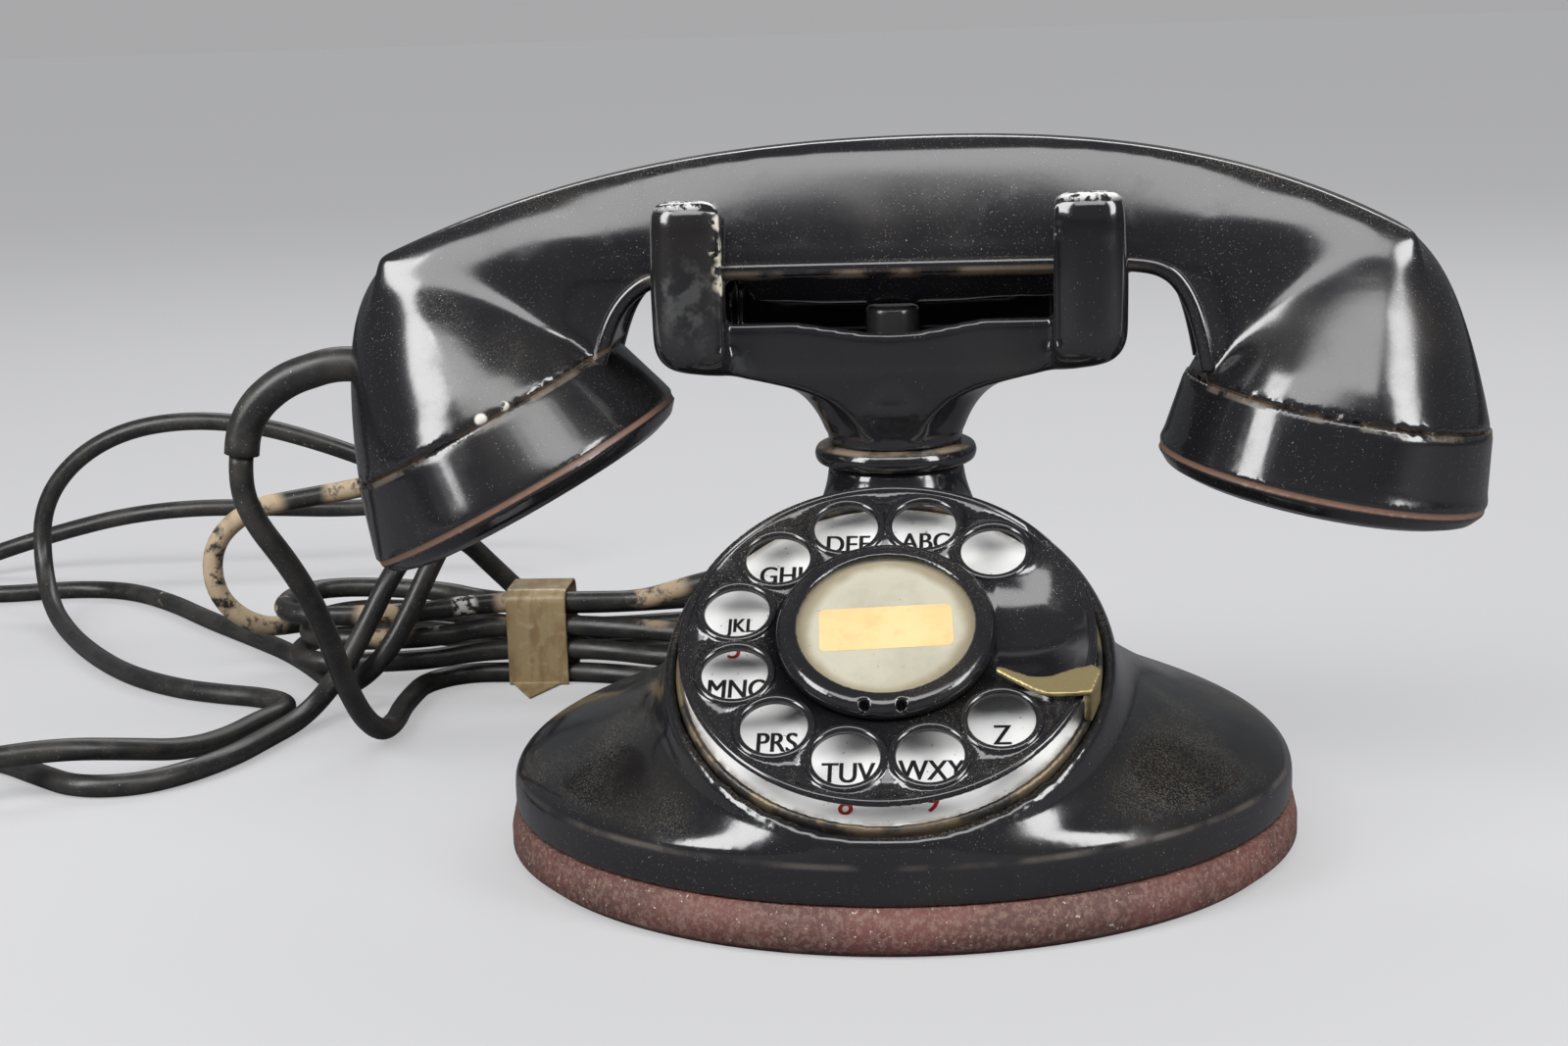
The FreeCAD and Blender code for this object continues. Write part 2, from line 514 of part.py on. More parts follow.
    # Bush that guides the hook plunger through the neck
    bush = ring(STEM_BUSH_R, STEM_R + RUN_FIT, NECK_TOP - 20, TROUGH_FLOOR, 0, AXIS_Y)
    flange = ring(NECK_BORE, STEM_R + RUN_FIT, NECK_TOP - 22, NECK_TOP - 20, 0, AXIS_Y)
    liner = ring(NECK_BORE, STEM_BUSH_R, NECK_TOP - 20, COLLAR_TOP, 0, AXIS_Y)
    keep("plunger_bush", fuse(bush, flange, liner))
    head = cylinder(PLUNGER_R, TROUGH_FLOOR + SEAT_GAP, BELLY_Z - SEAT_GAP, 0, AXIS_Y)
    head = head.makeFillet(0.8, [e for e in head.Edges if at_height(e, BELLY_Z - SEAT_GAP)])
    keep("hook_plunger", fuse(head, cylinder(STEM_R, STEM_END, TROUGH_FLOOR + 1, 0, AXIS_Y)))


# ---------------------------------------------------------------- handset
def cup_axis(seam, tilt):
    """Placement whose +Z runs up the axis of a cup and whose origin is in its seam."""
    return FreeCAD.Placement(V(seam[0], AXIS_Y, seam[1]), FreeCAD.Rotation(V(0, 1, 0), -tilt))


def place(shape, placement):
    moved = shape.copy()
    moved.Placement = placement.multiply(moved.Placement)
    return moved


def bell(seam_r, rise):
    """The domed back of a cup: a paraboloid of that rise that stands on the seam."""
    side = [(seam_r * math.sqrt(1 - (k / 7.0) ** 2), rise * (k / 7.0) ** 2) for k in range(7)]
    return turned_curve(side + [(0.02, rise)], [(0, rise), (0, 0)])


def cup_hollow(seam_r):
    """Room for the capsule: a smaller bell inside the wall, cut off flat at its depth."""
    radius = seam_r - CAP_WALL
    inner = bell(radius, BELL_RISE - CAP_WALL).common(cylinder(seam_r, 0, CUP_DEEP))
    return fuse(inner, cylinder(radius, -1, 0.01))


def make_cap(seam_r, lip_r):
    """Screwed cap: flared side, worn lip and a rounded face, hollow behind the face."""
    face = -CAP_DEEP - CAP_FACE
    outer = [(seam_r, -SEAM_GAP), (seam_r + 0.6, -SEAM_GAP - 1.2),
             (lip_r - 0.6, -CAP_DEEP + 2.2), (lip_r, -CAP_DEEP), (lip_r - 0.7, -CAP_DEEP - 0.6),
             (lip_r - 0.2, -CAP_DEEP - 1.6), (lip_r - 2.2, face + 1.3), (lip_r - 6.0, face), (0, face)]
    inner = [(0, face + CAP_WALL), (lip_r - 6.0, face + CAP_WALL), (lip_r - CAP_WALL - 2, -CAP_DEEP),
             (seam_r - CAP_WALL, -SEAM_GAP)]
    return turned(outer + inner)


def holes(ring_sizes, radius, z0, z1):
    """Round holes on rings: (ring radius, how many)."""
    found = []
    for ring_r, count in ring_sizes:
        for i in range(count):
            spot = polar(ring_r, 360.0 * i / count)
            found.append(cylinder(radius, z0, z1, spot.x, spot.y))
    return found


def make_handset():
    # Blade: the side view of the handle, thinner towards its spine
    spine = [(-HANDLE_END_X, HANDLE_END_Z), (-50, 133.6), (3.5, SPINE_Z), (55, 134.6),
             (HANDLE_END_X, HANDLE_END_Z)]
    left_in = [(-57.5, 92.0), (-55.6, 100.0), (-52.0, 107.6), (-46.0, 112.2), (-32.0, GRIP_LIP_Z)]
    right_in = [(32.0, GRIP_LIP_Z), (48.0, 113.2), (53.4, 111.6), (57.0, 106.6), (59.5, 99.0), (60.6, 92.0)]
    outline = [smooth(spine), straight(spine[-1], (104, 104)), straight((104, 104), (95, 92)),
               straight((95, 92), right_in[-1]), smooth(right_in), straight(right_in[0], left_in[-1]),
               smooth(left_in), straight(left_in[0], (-92, 92)), straight((-92, 92), (-104.5, 104)),
               straight((-104.5, 104), spine[0])]
    blade = side_plate(outline, AXIS_Y - GRIP_HALF, AXIS_Y + GRIP_HALF)
    low = GRIP_HALF + (GRIP_LIP_Z - 85) * (GRIP_HALF - SPINE_HALF) / (SPINE_Z - GRIP_LIP_Z)
    wedge = [(AXIS_Y - low, 85, 0), (AXIS_Y + low, 85, 0), (AXIS_Y + SPINE_HALF, SPINE_Z + 0.5, 5.5),
             (AXIS_Y - SPINE_HALF, SPINE_Z + 0.5, 5.5)]
    blade = blade.common(end_form(wedge, -120, 120))
    # Belly: a shallow rounded keel under the grip, between the lips
    half_keel = [(0, BELLY_Z), (13, BELLY_Z + 0.26 * BELLY_RISE), (26, BELLY_Z + BELLY_RISE),
                 (38, BELLY_Z + 2.1 * BELLY_RISE), (49, GRIP_LIP_Z - 0.8)]
    keel_line = [(-x, z) for x, z in reversed(half_keel)] + half_keel[1:]
    above = GRIP_LIP_Z + 4
    keel_view = [smooth(keel_line), straight(keel_line[-1], (49, above)),
                 straight((49, above), (-49, above)), straight((-49, above), keel_line[0])]
    keel_end = [(AXIS_Y - GRIP_HALF + 0.3, above, 0), (AXIS_Y - GRIP_HALF + 0.3, GRIP_LIP_Z - 0.6, 2.5),
                (AXIS_Y - 4, BELLY_Z, 10), (AXIS_Y + 4, BELLY_Z, 10),
                (AXIS_Y + GRIP_HALF - 0.3, GRIP_LIP_Z - 0.6, 2.5), (AXIS_Y + GRIP_HALF - 0.3, above, 0)]
    keel = side_plate(keel_view, AXIS_Y - GRIP_HALF, AXIS_Y + GRIP_HALF).common(end_form(keel_end, -60, 60))
    mouth, ear = cup_axis(MOUTH_SEAM, MOUTH_TILT), cup_axis(EAR_SEAM, EAR_TILT)
    handle = fuse(blade, keel, place(bell(MOUTH_SEAM_R, BELL_RISE), mouth),
                  place(bell(EAR_SEAM_R, BELL_RISE), ear))
    for placement, seam_r in ((mouth, MOUTH_SEAM_R), (ear, EAR_SEAM_R)):
        reach = 2 * seam_r
        under = place(box(-reach, reach, -reach, reach, -reach, 0), placement)
        handle = handle.cut(under).cut(place(cup_hollow(seam_r), placement))
    keep("cord_sleeve", make_sleeve())
    keep("handset_handle", handle.cut(PARTS["cord_sleeve"]))
    return mouth, ear


def make_cups(mouth, ear):
    mouth_holes = holes([(0.1, 1), (5.0, 6), (10.0, 12)], 1.2, -30, -CAP_DEEP)
    ear_holes = holes([(0.1, 1), (5.5, 6)], 1.7, -30, -CAP_DEEP)
    mouth_cap = make_cap(MOUTH_SEAM_R, MOUTH_LIP_R).cut(Part.makeCompound(mouth_holes))
    ear_cap = make_cap(EAR_SEAM_R, EAR_LIP_R).cut(Part.makeCompound(ear_holes))
    keep("mouthpiece_cap", place(mouth_cap, mouth))
    keep("earpiece_cap", place(ear_cap, ear))
    seat = -CAP_DEEP - CAP_FACE + CAP_WALL
    top = seat + TRANSMITTER_TALL
    capsule = [(0, seat), (TRANSMITTER_R - 4, seat), (TRANSMITTER_R, seat + 2), (TRANSMITTER_R, top - 3),
               (TRANSMITTER_R - 4, top), (0, top)]
    keep("transmitter_capsule", place(turned(capsule), mouth))
    receiver = [(0, seat), (RECEIVER_R - 1.5, seat), (RECEIVER_R, seat + 2), (RECEIVER_R, seat + 10),
                (RECEIVER_R - 9.5, seat + 12), (RECEIVER_R - 9.5, CUP_DEEP - 2), (0, CUP_DEEP - 2)]
    keep("receiver_capsule", place(turned(receiver), ear))
    springs = [box(x - 1.5, x + 1.5, -9, 9, top, top + 0.5).fuse(box(x - 1.5, x + 1.5, 8, 9, top, CUP_DEEP))
               for x in (-6, 6)]
    keep("transmitter_contacts", *[place(spring, mouth) for spring in springs])


def at_height(edge, z):
    return abs(edge.BoundBox.ZMin - z) < 0.01 and abs(edge.BoundBox.ZMax - z) < 0.01


# ---------------------------------------------------------------- dial
def gear(teeth, bore, z0, z1, turn=0.0):
    """A spur gear on the z axis, with straight-flanked teeth and room for its mate's."""
    pitch_r = teeth * GEAR_PITCH / (2 * math.pi)
    outline = []
    for i in range(teeth):
        middle = turn + 360.0 * i / teeth
        for radius, share in ((pitch_r - 0.62 * TOOTH, -0.28), (pitch_r + 0.45 * TOOTH, -0.12),
                              (pitch_r + 0.45 * TOOTH, 0.12), (pitch_r - 0.62 * TOOTH, 0.28)):
            outline.append(polar(radius, middle + share * 360.0 / teeth, z0))
    blank = Part.Face(Part.makePolygon(outline + outline[:1])).extrude(V(0, 0, z1 - z0))
    return blank.cut(cylinder(bore, z0 - 1, z1 + 1)) if bore else blank


def beads(sizes):
    """Rolled rims: (x, y, radius) circles, each a ring of round section just above the plate."""
    return [Part.makeTorus(radius, BEAD_R, V(x, y, -BEAD_R * 0.25)) for x, y, radius in sizes]


def make_dial_case():
    cup = turned([(SHAFT_R + 3, CASE_FLOOR), (CASE_R, CASE_FLOOR), (CASE_R, CASE_SEAT),
                  (BEZEL_R, CASE_SEAT), (BEZEL_R, CASE_SEAT + CASE_WALL),
                  (CASE_R - CASE_WALL, CASE_SEAT + CASE_WALL),
                  (CASE_R - CASE_WALL, CASE_FLOOR + CASE_WALL), (SHAFT_R + 3, CASE_FLOOR + CASE_WALL)])
    floor = cylinder(SHAFT_R + 4, CASE_FLOOR, CASE_FLOOR + CASE_WALL)
    step = cylinder(SHAFT_R + RUN_FIT, CASE_FLOOR + CASE_WALL / 2, CASE_FLOOR + CASE_WALL + 1)
    keep("dial_case", on_dial(fuse(cup, floor).cut(step)))
    under = CASE_SEAT + CASE_WALL
    inner = PLATE_R + SCREW_FIT
    bezel = turned([(BEZEL_R - 3, under), (BEZEL_R, under), (BEZEL_R, BEZEL_TOP - 0.5),
                    (BEZEL_R - 0.4, BEZEL_TOP), (inner, BEZEL_TOP), (inner, PLATE_SEAT),
                    (BEZEL_R - 3, PLATE_SEAT)])
    keep("dial_bezel", on_dial(bezel))
    plate = cylinder(PLATE_R, PLATE_SEAT, PLATE_SEAT + NUMBER_PLATE_THICK).cut(cylinder(SHAFT_R + 1, -9, 0))
    keep("number_plate", on_dial(plate))


def make_finger_stop():
    """A bent blade: a leg beside the wheel's rim and a hooked finger over its face."""
    leg_in = WHEEL_R + BEAD_R + SEAT_GAP
    leg_out, tip = leg_in + STOP_THICK, HUB_R - 0.2
    heel, toe = polar(leg_out, STOP_ANGLE + 7), polar(leg_out, STOP_ANGLE - 1)
    reach = [(tip, -9.1, 0.5), (leg_out - 12.5, -12.7, 8.0), (leg_out - 6.7, -10.2, 6.0),
             (heel.x - 1.6, heel.y + 1.2, 1.2), (heel.x, heel.y, 0.6), (toe.x, toe.y, 0.8),
             (leg_out - 11.6, -16.3, 8.0), (tip, -10.6, 0.5)]
    blade = flat_form(reach, STOP_RISE, STOP_RISE + 1.1)
    sector = Part.makeBox(WHEEL_R, STOP_WIDE, 30, V(WHEEL_R / 2, -STOP_WIDE / 2, -20))
    sector.rotate(V(0, 0, 0), V(0, 0, 1), STOP_ANGLE + 3)
    leg = ring(leg_out, leg_in, BEZEL_TOP, STOP_RISE + 0.5).common(sector)
    keep("finger_stop", on_dial(fuse(blade, leg)))


def make_finger_wheel():
    wheel = cylinder(WHEEL_R, -WHEEL_THICK, 0)
    spots = [polar(HOLE_RING_R, FIRST_HOLE + HOLE_STEP * i) for i in range(HOLE_COUNT)]
    for spot in spots:
        wheel = wheel.cut(cylinder(HOLE_R, -5, 5, spot.x, spot.y))
    rims = beads([(s.x, s.y, HOLE_R + BEAD_R * 0.6) for s in spots] + [(0, 0, WHEEL_R)])
    boss = cylinder(SHAFT_R + 2.5, PLATE_SEAT + NUMBER_PLATE_THICK + SEAT_GAP, -WHEEL_THICK)
    wheel = wheel.fuse(boss).cut(cylinder(SHAFT_R, -20, 5))
    keep("finger_wheel", on_dial(wheel.multiFuse(rims)))
    holder = turned([(SHAFT_R + 0.5, 0), (HUB_R - 0.8, 0), (HUB_R, 0.9), (HUB_R, HUB_RISE - 1.6),
                     (HUB_R - 0.8, HUB_RISE - 0.4), (HUB_R - 2, HUB_RISE), (CARD_R + 0.4, HUB_RISE),
                     (CARD_R, HUB_RISE - 0.5), (CARD_R, HUB_RISE - 1.0), (CARD_R + 1.2, HUB_RISE - 1.0),
                     (CARD_R + 1.2, CARD_SEAT), (SHAFT_R + 0.5, CARD_SEAT)])
    for side in (-1, 1):
        notch = polar(HUB_R - 1.1, 270 + side * NOTCH_ANGLE)
        holder = holder.cut(cylinder(NOTCH_R, 0.9, HUB_RISE + 1, notch.x, notch.y))
    keep("card_ring", on_dial(holder))
    keep("number_card", on_dial(cylinder(CARD_R + 1.1, CARD_SEAT, CARD_SEAT + CARD_THICK)))
    keep("card_window", on_dial(cylinder(CARD_R + 1.1, CARD_SEAT + CARD_THICK, HUB_RISE - 1.0)))
    shaft = cylinder(SHAFT_R, CASE_FLOOR + CASE_WALL / 2 + SEAT_GAP, CARD_SEAT - 0.1)
    keep("dial_shaft", on_dial(shaft))


def make_gear_train():
    floor = CASE_FLOOR + CASE_WALL
    drive_z = floor + 1.2
    bridge_z = CASE_SEAT - 2.4
    keep("drive_gear", on_dial(gear(DRIVE_TEETH, SHAFT_R, drive_z, drive_z + GEAR_THICK, GEAR_PHASE)))
    spot = polar(PULSE_ARM, PULSE_ANGLE)
    pinion_turn = PULSE_ANGLE + 180 - 180 / PINION_TEETH
    pinion = gear(PINION_TEETH, 0, drive_z - 0.4, drive_z + GEAR_THICK + 0.8, pinion_turn)
    wheel = gear(WORM_WHEEL_TEETH, 0, drive_z + GEAR_THICK + 0.8, drive_z + GEAR_THICK + 2.2)
    cam = cylinder(4.2, drive_z + GEAR_THICK + 2.2, drive_z + GEAR_THICK + 3.6)
    cam = cam.cut(box(2.6, 6, -6, 6, -40, 0)).cut(box(-6, -2.6, -6, 6, -40, 0))
    arbor = cylinder(1.2, CASE_FLOOR + CASE_WALL / 2 + SEAT_GAP, bridge_z + 1.0)
    pulse = fuse(pinion, wheel, cam, arbor)
    pulse.translate(V(spot.x, spot.y, 0))
    keep("pulse_gear", on_dial(pulse))

    # Bridge over the gears, on three pillars
    bridge = cylinder(BRIDGE_R, bridge_z, bridge_z + 1.2).cut(cylinder(SHAFT_R + RUN_FIT, -30, 0))
    bridge = bridge.cut(cylinder(1.2 + RUN_FIT, bridge_z - 1, bridge_z + 2, spot.x, spot.y))
    pillars = []
    for degrees in (25, 100, 300):
        foot = polar(BRIDGE_R - 3.0, degrees)
        pillars.append(cylinder(2.2, floor, bridge_z, foot.x, foot.y))
    keep("gear_bridge", on_dial(fuse(bridge, *pillars)))
    case = PARTS["dial_case"].cut(on_dial(cylinder(1.2 + RUN_FIT, CASE_FLOOR + CASE_WALL / 2, floor + 1,
                                                   spot.x, spot.y)))
    keep("dial_case", case)

    # Mainspring: a flat spiral round the shaft, hooked to the bridge
    spiral_z = bridge_z - 2.6
    inner_side, outer_side = [], []
    for i in range(SPRING_TURNS * 12 + 1):
        radius = SHAFT_R + 1.6 + 1.5 * i / 12
        inner_side.append(polar(radius, 30 * i, spiral_z))
        outer_side.append(polar(radius + 0.5, 30 * i, spiral_z))
    loop = inner_side + outer_side[::-1]
    spring = Part.Face(Part.makePolygon(loop + loop[:1])).extrude(V(0, 0, 2.0))
    end = outer_side[-1]
    hook = box(end.x - 1.4, end.x - 0.2, -0.6, 0.6, spiral_z, bridge_z)
    keep("mainspring", on_dial(fuse(spring, hook)))

    # Governor: a worm beside its wheel, two weights, and the cup that they brush
    worm_z = drive_z + GEAR_THICK + 1.5
    wheel_tip = WORM_WHEEL_TEETH * GEAR_PITCH / (2 * math.pi) + 0.45 * TOOTH
    along, across = polar(1, GOVERNOR_ANGLE), polar(1, GOVERNOR_ANGLE - 90)
    middle = spot + along * (wheel_tip + WORM_R + SEAT_GAP) + V(0, 0, worm_z)
    worm = rod(WORM_R, middle - across * 3.5, middle + across * 2.5)
    arbor = rod(GOVERNOR_ARBOR_R, middle - across * 15.0, middle + across * 4.5)
    keep("governor_worm", on_dial(fuse(worm, arbor)))
    weights = []
    for side in (-1, 1):
        inner = middle - across * 11.0 + along * (side * 1.75)
        weights.append(rod(0.8, inner - across * 1.2, inner + across * 1.2))
    hub = rod(GOVERNOR_ARBOR_R + 0.8, middle - across * 12.0, middle - across * 10.0)
    hub = hub.cut(rod(GOVERNOR_ARBOR_R, middle - across * 13, middle - across * 9))
    keep("governor_weights", on_dial(hub.multiFuse(weights)))
    cup = rod(3.4, middle - across * 14.2, middle - across * 8.6)
    cup = cup.cut(rod(2.7, middle - across * 13.2, middle - across * 8))
    cup = cup.cut(rod(GOVERNOR_ARBOR_R + RUN_FIT, middle - across * 20, middle))
    foot_z = floor - worm_z
    posts = []
    for reach in (-13.7, 3.6):
        post = Part.makeBox(1.1, 3.2, -foot_z + 2.0, V(-0.55, -1.6, foot_z))
        post.rotate(V(0, 0, 0), V(0, 0, 1), GOVERNOR_ANGLE - 90)
        post.translate(middle + across * reach)
        posts.append(post.cut(rod(GOVERNOR_ARBOR_R + RUN_FIT, middle - across * 20, middle + across * 8)))
    cup = cup.cut(Part.makeBox(60, 60, 20, V(-30, -30, floor - 20)))
    keep("governor_cup", on_dial(fuse(cup, posts[0])))
    keep("governor_bearing", on_dial(posts[1]))

    # Pulse contacts: two leaves beside the cam
    leaves = []
    for lean in (4.5, 6.1):
        leaf = Part.makeBox(0.35, 13.0, 1.6, V(lean, -2, drive_z + GEAR_THICK + 2.4))
        block = Part.makeBox(0.35, 2.0, drive_z + GEAR_THICK + 2.4 - floor, V(lean, 9.0, floor))
        leaves.append(leaf.fuse(block))
    for leaf in leaves:
        leaf.rotate(V(0, 0, 0), V(0, 0, 1), PULSE_ANGLE - 60)
        leaf.translate(V(spot.x, spot.y, 0))
    keep("pulse_springs", *[on_dial(leaf) for leaf in leaves])


# ---------------------------------------------------------------- hook switch and wiring
def make_hook_switch():
    """A lever under the plunger's stem, three leaf springs and the bracket that holds them."""
    rest = math.degrees(math.asin(PLUNGER_TRAVEL / 2 / LEVER_ARM))
    pivot_y = AXIS_Y + LEVER_ARM
    pivot_z = STEM_END - SEAT_GAP - 1.2 + PLUNGER_TRAVEL / 2
    arm = box(-LEVER_HALF, LEVER_HALF, -LEVER_ARM - 2.0, 1.0, -0.8, 0.8)
    pad = Part.makeCylinder(1.2, 2 * LEVER_HALF, V(-LEVER_HALF, -LEVER_ARM, 0), V(1, 0, 0))
    knuckle = Part.makeCylinder(PIVOT_R + 1.4, 2 * LEVER_HALF, V(-LEVER_HALF, 0, 0), V(1, 0, 0))
    bore = Part.makeCylinder(PIVOT_R + RUN_FIT, 2 * LEVER_HALF + 2, V(-LEVER_HALF - 1, 0, 0), V(1, 0, 0))
    lever = fuse(arm, pad, knuckle).cut(bore)
    lever.rotate(V(0, 0, 0), V(1, 0, 0), rest)
    lever.translate(V(0, pivot_y, pivot_z))
    keep("hook_lever", lever)
    cheek_x = LEVER_HALF + SEAT_GAP
    pin = Part.makeCylinder(PIVOT_R, 2 * cheek_x + 5, V(-cheek_x - 2.5, pivot_y, pivot_z), V(1, 0, 0))
    keep("lever_pivot", pin)
    back_y = pivot_y + PIVOT_R + 2.4
    back = box(-cheek_x - 2, cheek_x + 2, back_y, back_y + 1.6, PLATE_TOP, pivot_z + 3)
    foot = box(-cheek_x - 2, cheek_x + 2, back_y - 10, back_y + 1.6, PLATE_TOP, PLATE_TOP + 1.6)
    cheeks = []
    for x0, x1 in ((-cheek_x - 2, -cheek_x), (cheek_x, cheek_x + 2)):
        ear = end_form([(pivot_y - 3, pivot_z - 3, 2.5), (back_y + 0.5, pivot_z - 8, 0),
                        (back_y + 0.5, pivot_z + 3, 0), (pivot_y - 3, pivot_z + 3, 2.5)], x0, x1)
        cheeks.append(ear)
    bracket = fuse(back, foot, *cheeks)
    bracket = bracket.cut(Part.makeCylinder(PIVOT_R, 40, V(-20, pivot_y, pivot_z), V(1, 0, 0)))
    keep("switch_bracket", bracket)
    stack_z = pivot_z - 16
    springs, blocks = [], []
    for i in range(4):
        low = stack_z - 3.2 * i
        blocks.append(box(-4, 4, back_y - 6, back_y, low - 1.4, low + 1.4))
    for i in range(3):
        low = stack_z - 1.6 - 3.2 * i
        springs.append(box(-2.5, 2.5, AXIS_Y - 2, back_y - 0.5, low - 0.2, low + 0.2))
    keep("switch_springs", *springs)
    keep("switch_insulators", *[block for block in blocks])


def make_wiring():
    strip = box(22, 50, 24, 36, PLATE_TOP, PLATE_TOP + 7)
    screws = []
    for i in range(4):
        x = 25.5 + 7.0 * i
        strip = strip.cut(cylinder(1.5 + SCREW_FIT, PLATE_TOP + 2, PLATE_TOP + 8, x, 30))
        head = cylinder(2.6, PLATE_TOP + 7, PLATE_TOP + 8.6, x, 30)
        head = head.cut(box(x - 3, x + 3, 29.6, 30.4, PLATE_TOP + 8, PLATE_TOP + 9))
        screws.append(head.fuse(cylinder(1.5, PLATE_TOP + 2, PLATE_TOP + 7, x, 30)))
    keep("terminal_strip", strip)
    keep("terminal_screws", *screws)
    for name, x in CORD_EXITS.items():
        inside = FOOT_HALF_Y - 12
        bush = rod(BUSH_R, (x, inside, BUSH_Z), (x, BUSH_END_Y - 0.8, BUSH_Z))
        lip = rod(BUSH_R + 1.0, (x, BUSH_END_Y - 1.6, BUSH_Z), (x, BUSH_END_Y, BUSH_Z))
        bore = rod(CORD_D / 2, (x, inside - 1, BUSH_Z), (x, BUSH_END_Y + 1, BUSH_Z))
        keep(name, fuse(bush, lip).cut(bore))


def make_sleeve():
    """Bent rubber sleeve over the handset's end of the cord."""
    path = rounded_path(SLEEVE_PATH, SLEEVE_RADII)
    start, on = V(*SLEEVE_PATH[0]), V(*SLEEVE_PATH[1])
    section = Part.Wire([Part.Circle(start, on - start, SLEEVE_D / 2).toShape()])
    return path.makePipeShell([section], True, False)


# ---------------------------------------------------------------- cords
def cord_radii(points):
    """Arc at each corner of a route: 0.45 of the shorter run over the tangent of half the turn."""
    radii = [0.0]
    for a, here, b in zip(points, points[1:], points[2:]):
        back, on = V(*a) - V(*here), V(*b) - V(*here)
        half = back.getAngle(on) / 2
        radii.append(0.45 * min(back.Length, on.Length) * math.tan(half))
    return radii + [0.0]


def tube(label, points):
    """Round cord along straight runs and tangent arcs; prints its length and tightest arc."""
    radii = cord_radii(points)
    path = rounded_path(points, radii)
    start, on = V(*points[0]), V(*points[1])
    section = Part.Wire([Part.Circle(start, on - start, CORD_D / 2).toShape()])
    cord = path.makePipeShell([section], True, False)
    share = cord.Volume / (math.pi * CORD_D ** 2 / 4 * path.Length)
    print("%s: %.0f mm long, tightest radius %.1f mm, volume %.4f of section by length"
          % (label, path.Length, min(radii[1:-1]), share))
    return cord


def hank_route():
    """Loops stacked flat: out to the right fold, back and up to the left fold, and out again."""
    front, back = HANK_Y - HANK_WAIST, HANK_Y + HANK_WAIST
    points = [(HANK_START_X, front, LIE_Z)]
    z = LIE_Z
    for right, left, wide_right, wide_left in HANK_LOOPS:
        points += [(HANK_END_X, front, z), (right - HANK_LEVEL - 6, HANK_Y - wide_right, z),
                   (right, HANK_Y - wide_right, z), (right, HANK_Y + wide_right, z + 0.1 * HANK_LAYER),
                   (right - HANK_LEVEL - 6, HANK_Y + wide_right, z + 0.25 * HANK_LAYER),
                   (HANK_END_X, back, z + 0.43 * HANK_LAYER), (HANK_WAIST_X, back, z + 0.57 * HANK_LAYER),
                   (left + HANK_LEVEL, HANK_Y + wide_left, z + 0.7 * HANK_LAYER),
                   (left, HANK_Y + wide_left, z + 0.9 * HANK_LAYER)]
        z += HANK_LAYER
        points += [(left, HANK_Y - wide_left, z), (left + HANK_LEVEL, HANK_Y - wide_left, z),
                   (HANK_WAIST_X, front, z)]
    return points + [(HANK_END_X, front, z)]


def self_gap(points):
    """Least gap between two stretches of one tube, measured on points 1.5 mm apart."""
    path = rounded_path(points, cord_radii(points))
    spots = path.discretize(Distance=1.5)
    apart = 12
    least = min(a.distanceToPoint(b) for i, a in enumerate(spots) for b in spots[i + apart:])
    return least - CORD_D


def make_tape():
    """Band of old tape over the waist of the hank, with a pointed tail on the table in front."""
    low = LIE_Z - CORD_D / 2
    inside_y = HANK_WAIST + CORD_D / 2 + TAPE_SLACK
    inside_z = HANK_TOP + CORD_D / 2 + TAPE_SLACK
    outside_y, outside_z = inside_y + TAPE_THICK, inside_z + TAPE_THICK
    corner = 3.0
    outer = side_profile(outside_y, low, outside_z, corner + TAPE_THICK)
    inner = side_profile(inside_y, low - 5, inside_z, corner)
    band = outer.cut(inner)
    front = HANK_Y - outside_y
    middle = (TAPE_FROM + TAPE_TO) / 2
    tail = Part.makePolygon([V(TAPE_FROM + 1, front + TAPE_THICK / 2, low),
                             V(TAPE_TO - 2, front + TAPE_THICK / 2, low),
                             V(middle, front - 13, low), V(TAPE_FROM + 1, front + TAPE_THICK / 2, low)])
    tail = Part.Face(tail).extrude(V(0, 0, TAPE_THICK))
    return fuse(band, tail)


def side_profile(half_y, z0, z1, corner):
    """Arch section round the hank, as long as the tape is wide."""
    corners = [(HANK_Y - half_y, z0, 0), (HANK_Y + half_y, z0, 0), (HANK_Y + half_y, z1, corner),
               (HANK_Y - half_y, z1, corner)]
    return end_form(corners, TAPE_FROM, TAPE_TO)


def make_terminals():
    """Ferrule at the free end of the line cord, with three wires that end in spade tongues."""
    end = V(*LINE_ROUTE[-1])
    ferrule = rod(FERRULE_R, (end.x, end.y, end.z + 0.4), (end.x + FERRULE_LONG, end.y, end.z + 0.4))
    pieces = [ferrule]
    for i in (-1, 0, 1):
        root = V(end.x + FERRULE_LONG, end.y + 1.4 * i, end.z)
        tip = V(root.x + 14, end.y + 5.0 * i, LIE_Z - 1.2)
        pieces.append(rod(0.8, (root.x - 1, root.y, root.z), (tip.x + 1, tip.y, tip.z)))
        tongue = box(tip.x, tip.x + 8, tip.y - 2.2, tip.y + 2.2, tip.z - 0.4, tip.z + 0.4)
        slot = box(tip.x + 3.5, tip.x + 9, tip.y - 0.9, tip.y + 0.9, tip.z - 1, tip.z + 1)
        pieces.append(tongue.cut(slot))
    return fuse(*pieces)


def make_cords():
    keep("handset_cord", tube("handset cord, fall", HANDSET_FALL), tube("handset cord, rise", HANDSET_RISE))
    hank = hank_route()
    keep("cord_hank", tube("hank", hank))
    print("least gap of the hank to itself: %.2f mm" % self_gap(hank))
    keep("line_cord", tube("line cord", LINE_ROUTE))
    keep("hank_tape", make_tape())
    keep("cord_terminals", make_terminals())


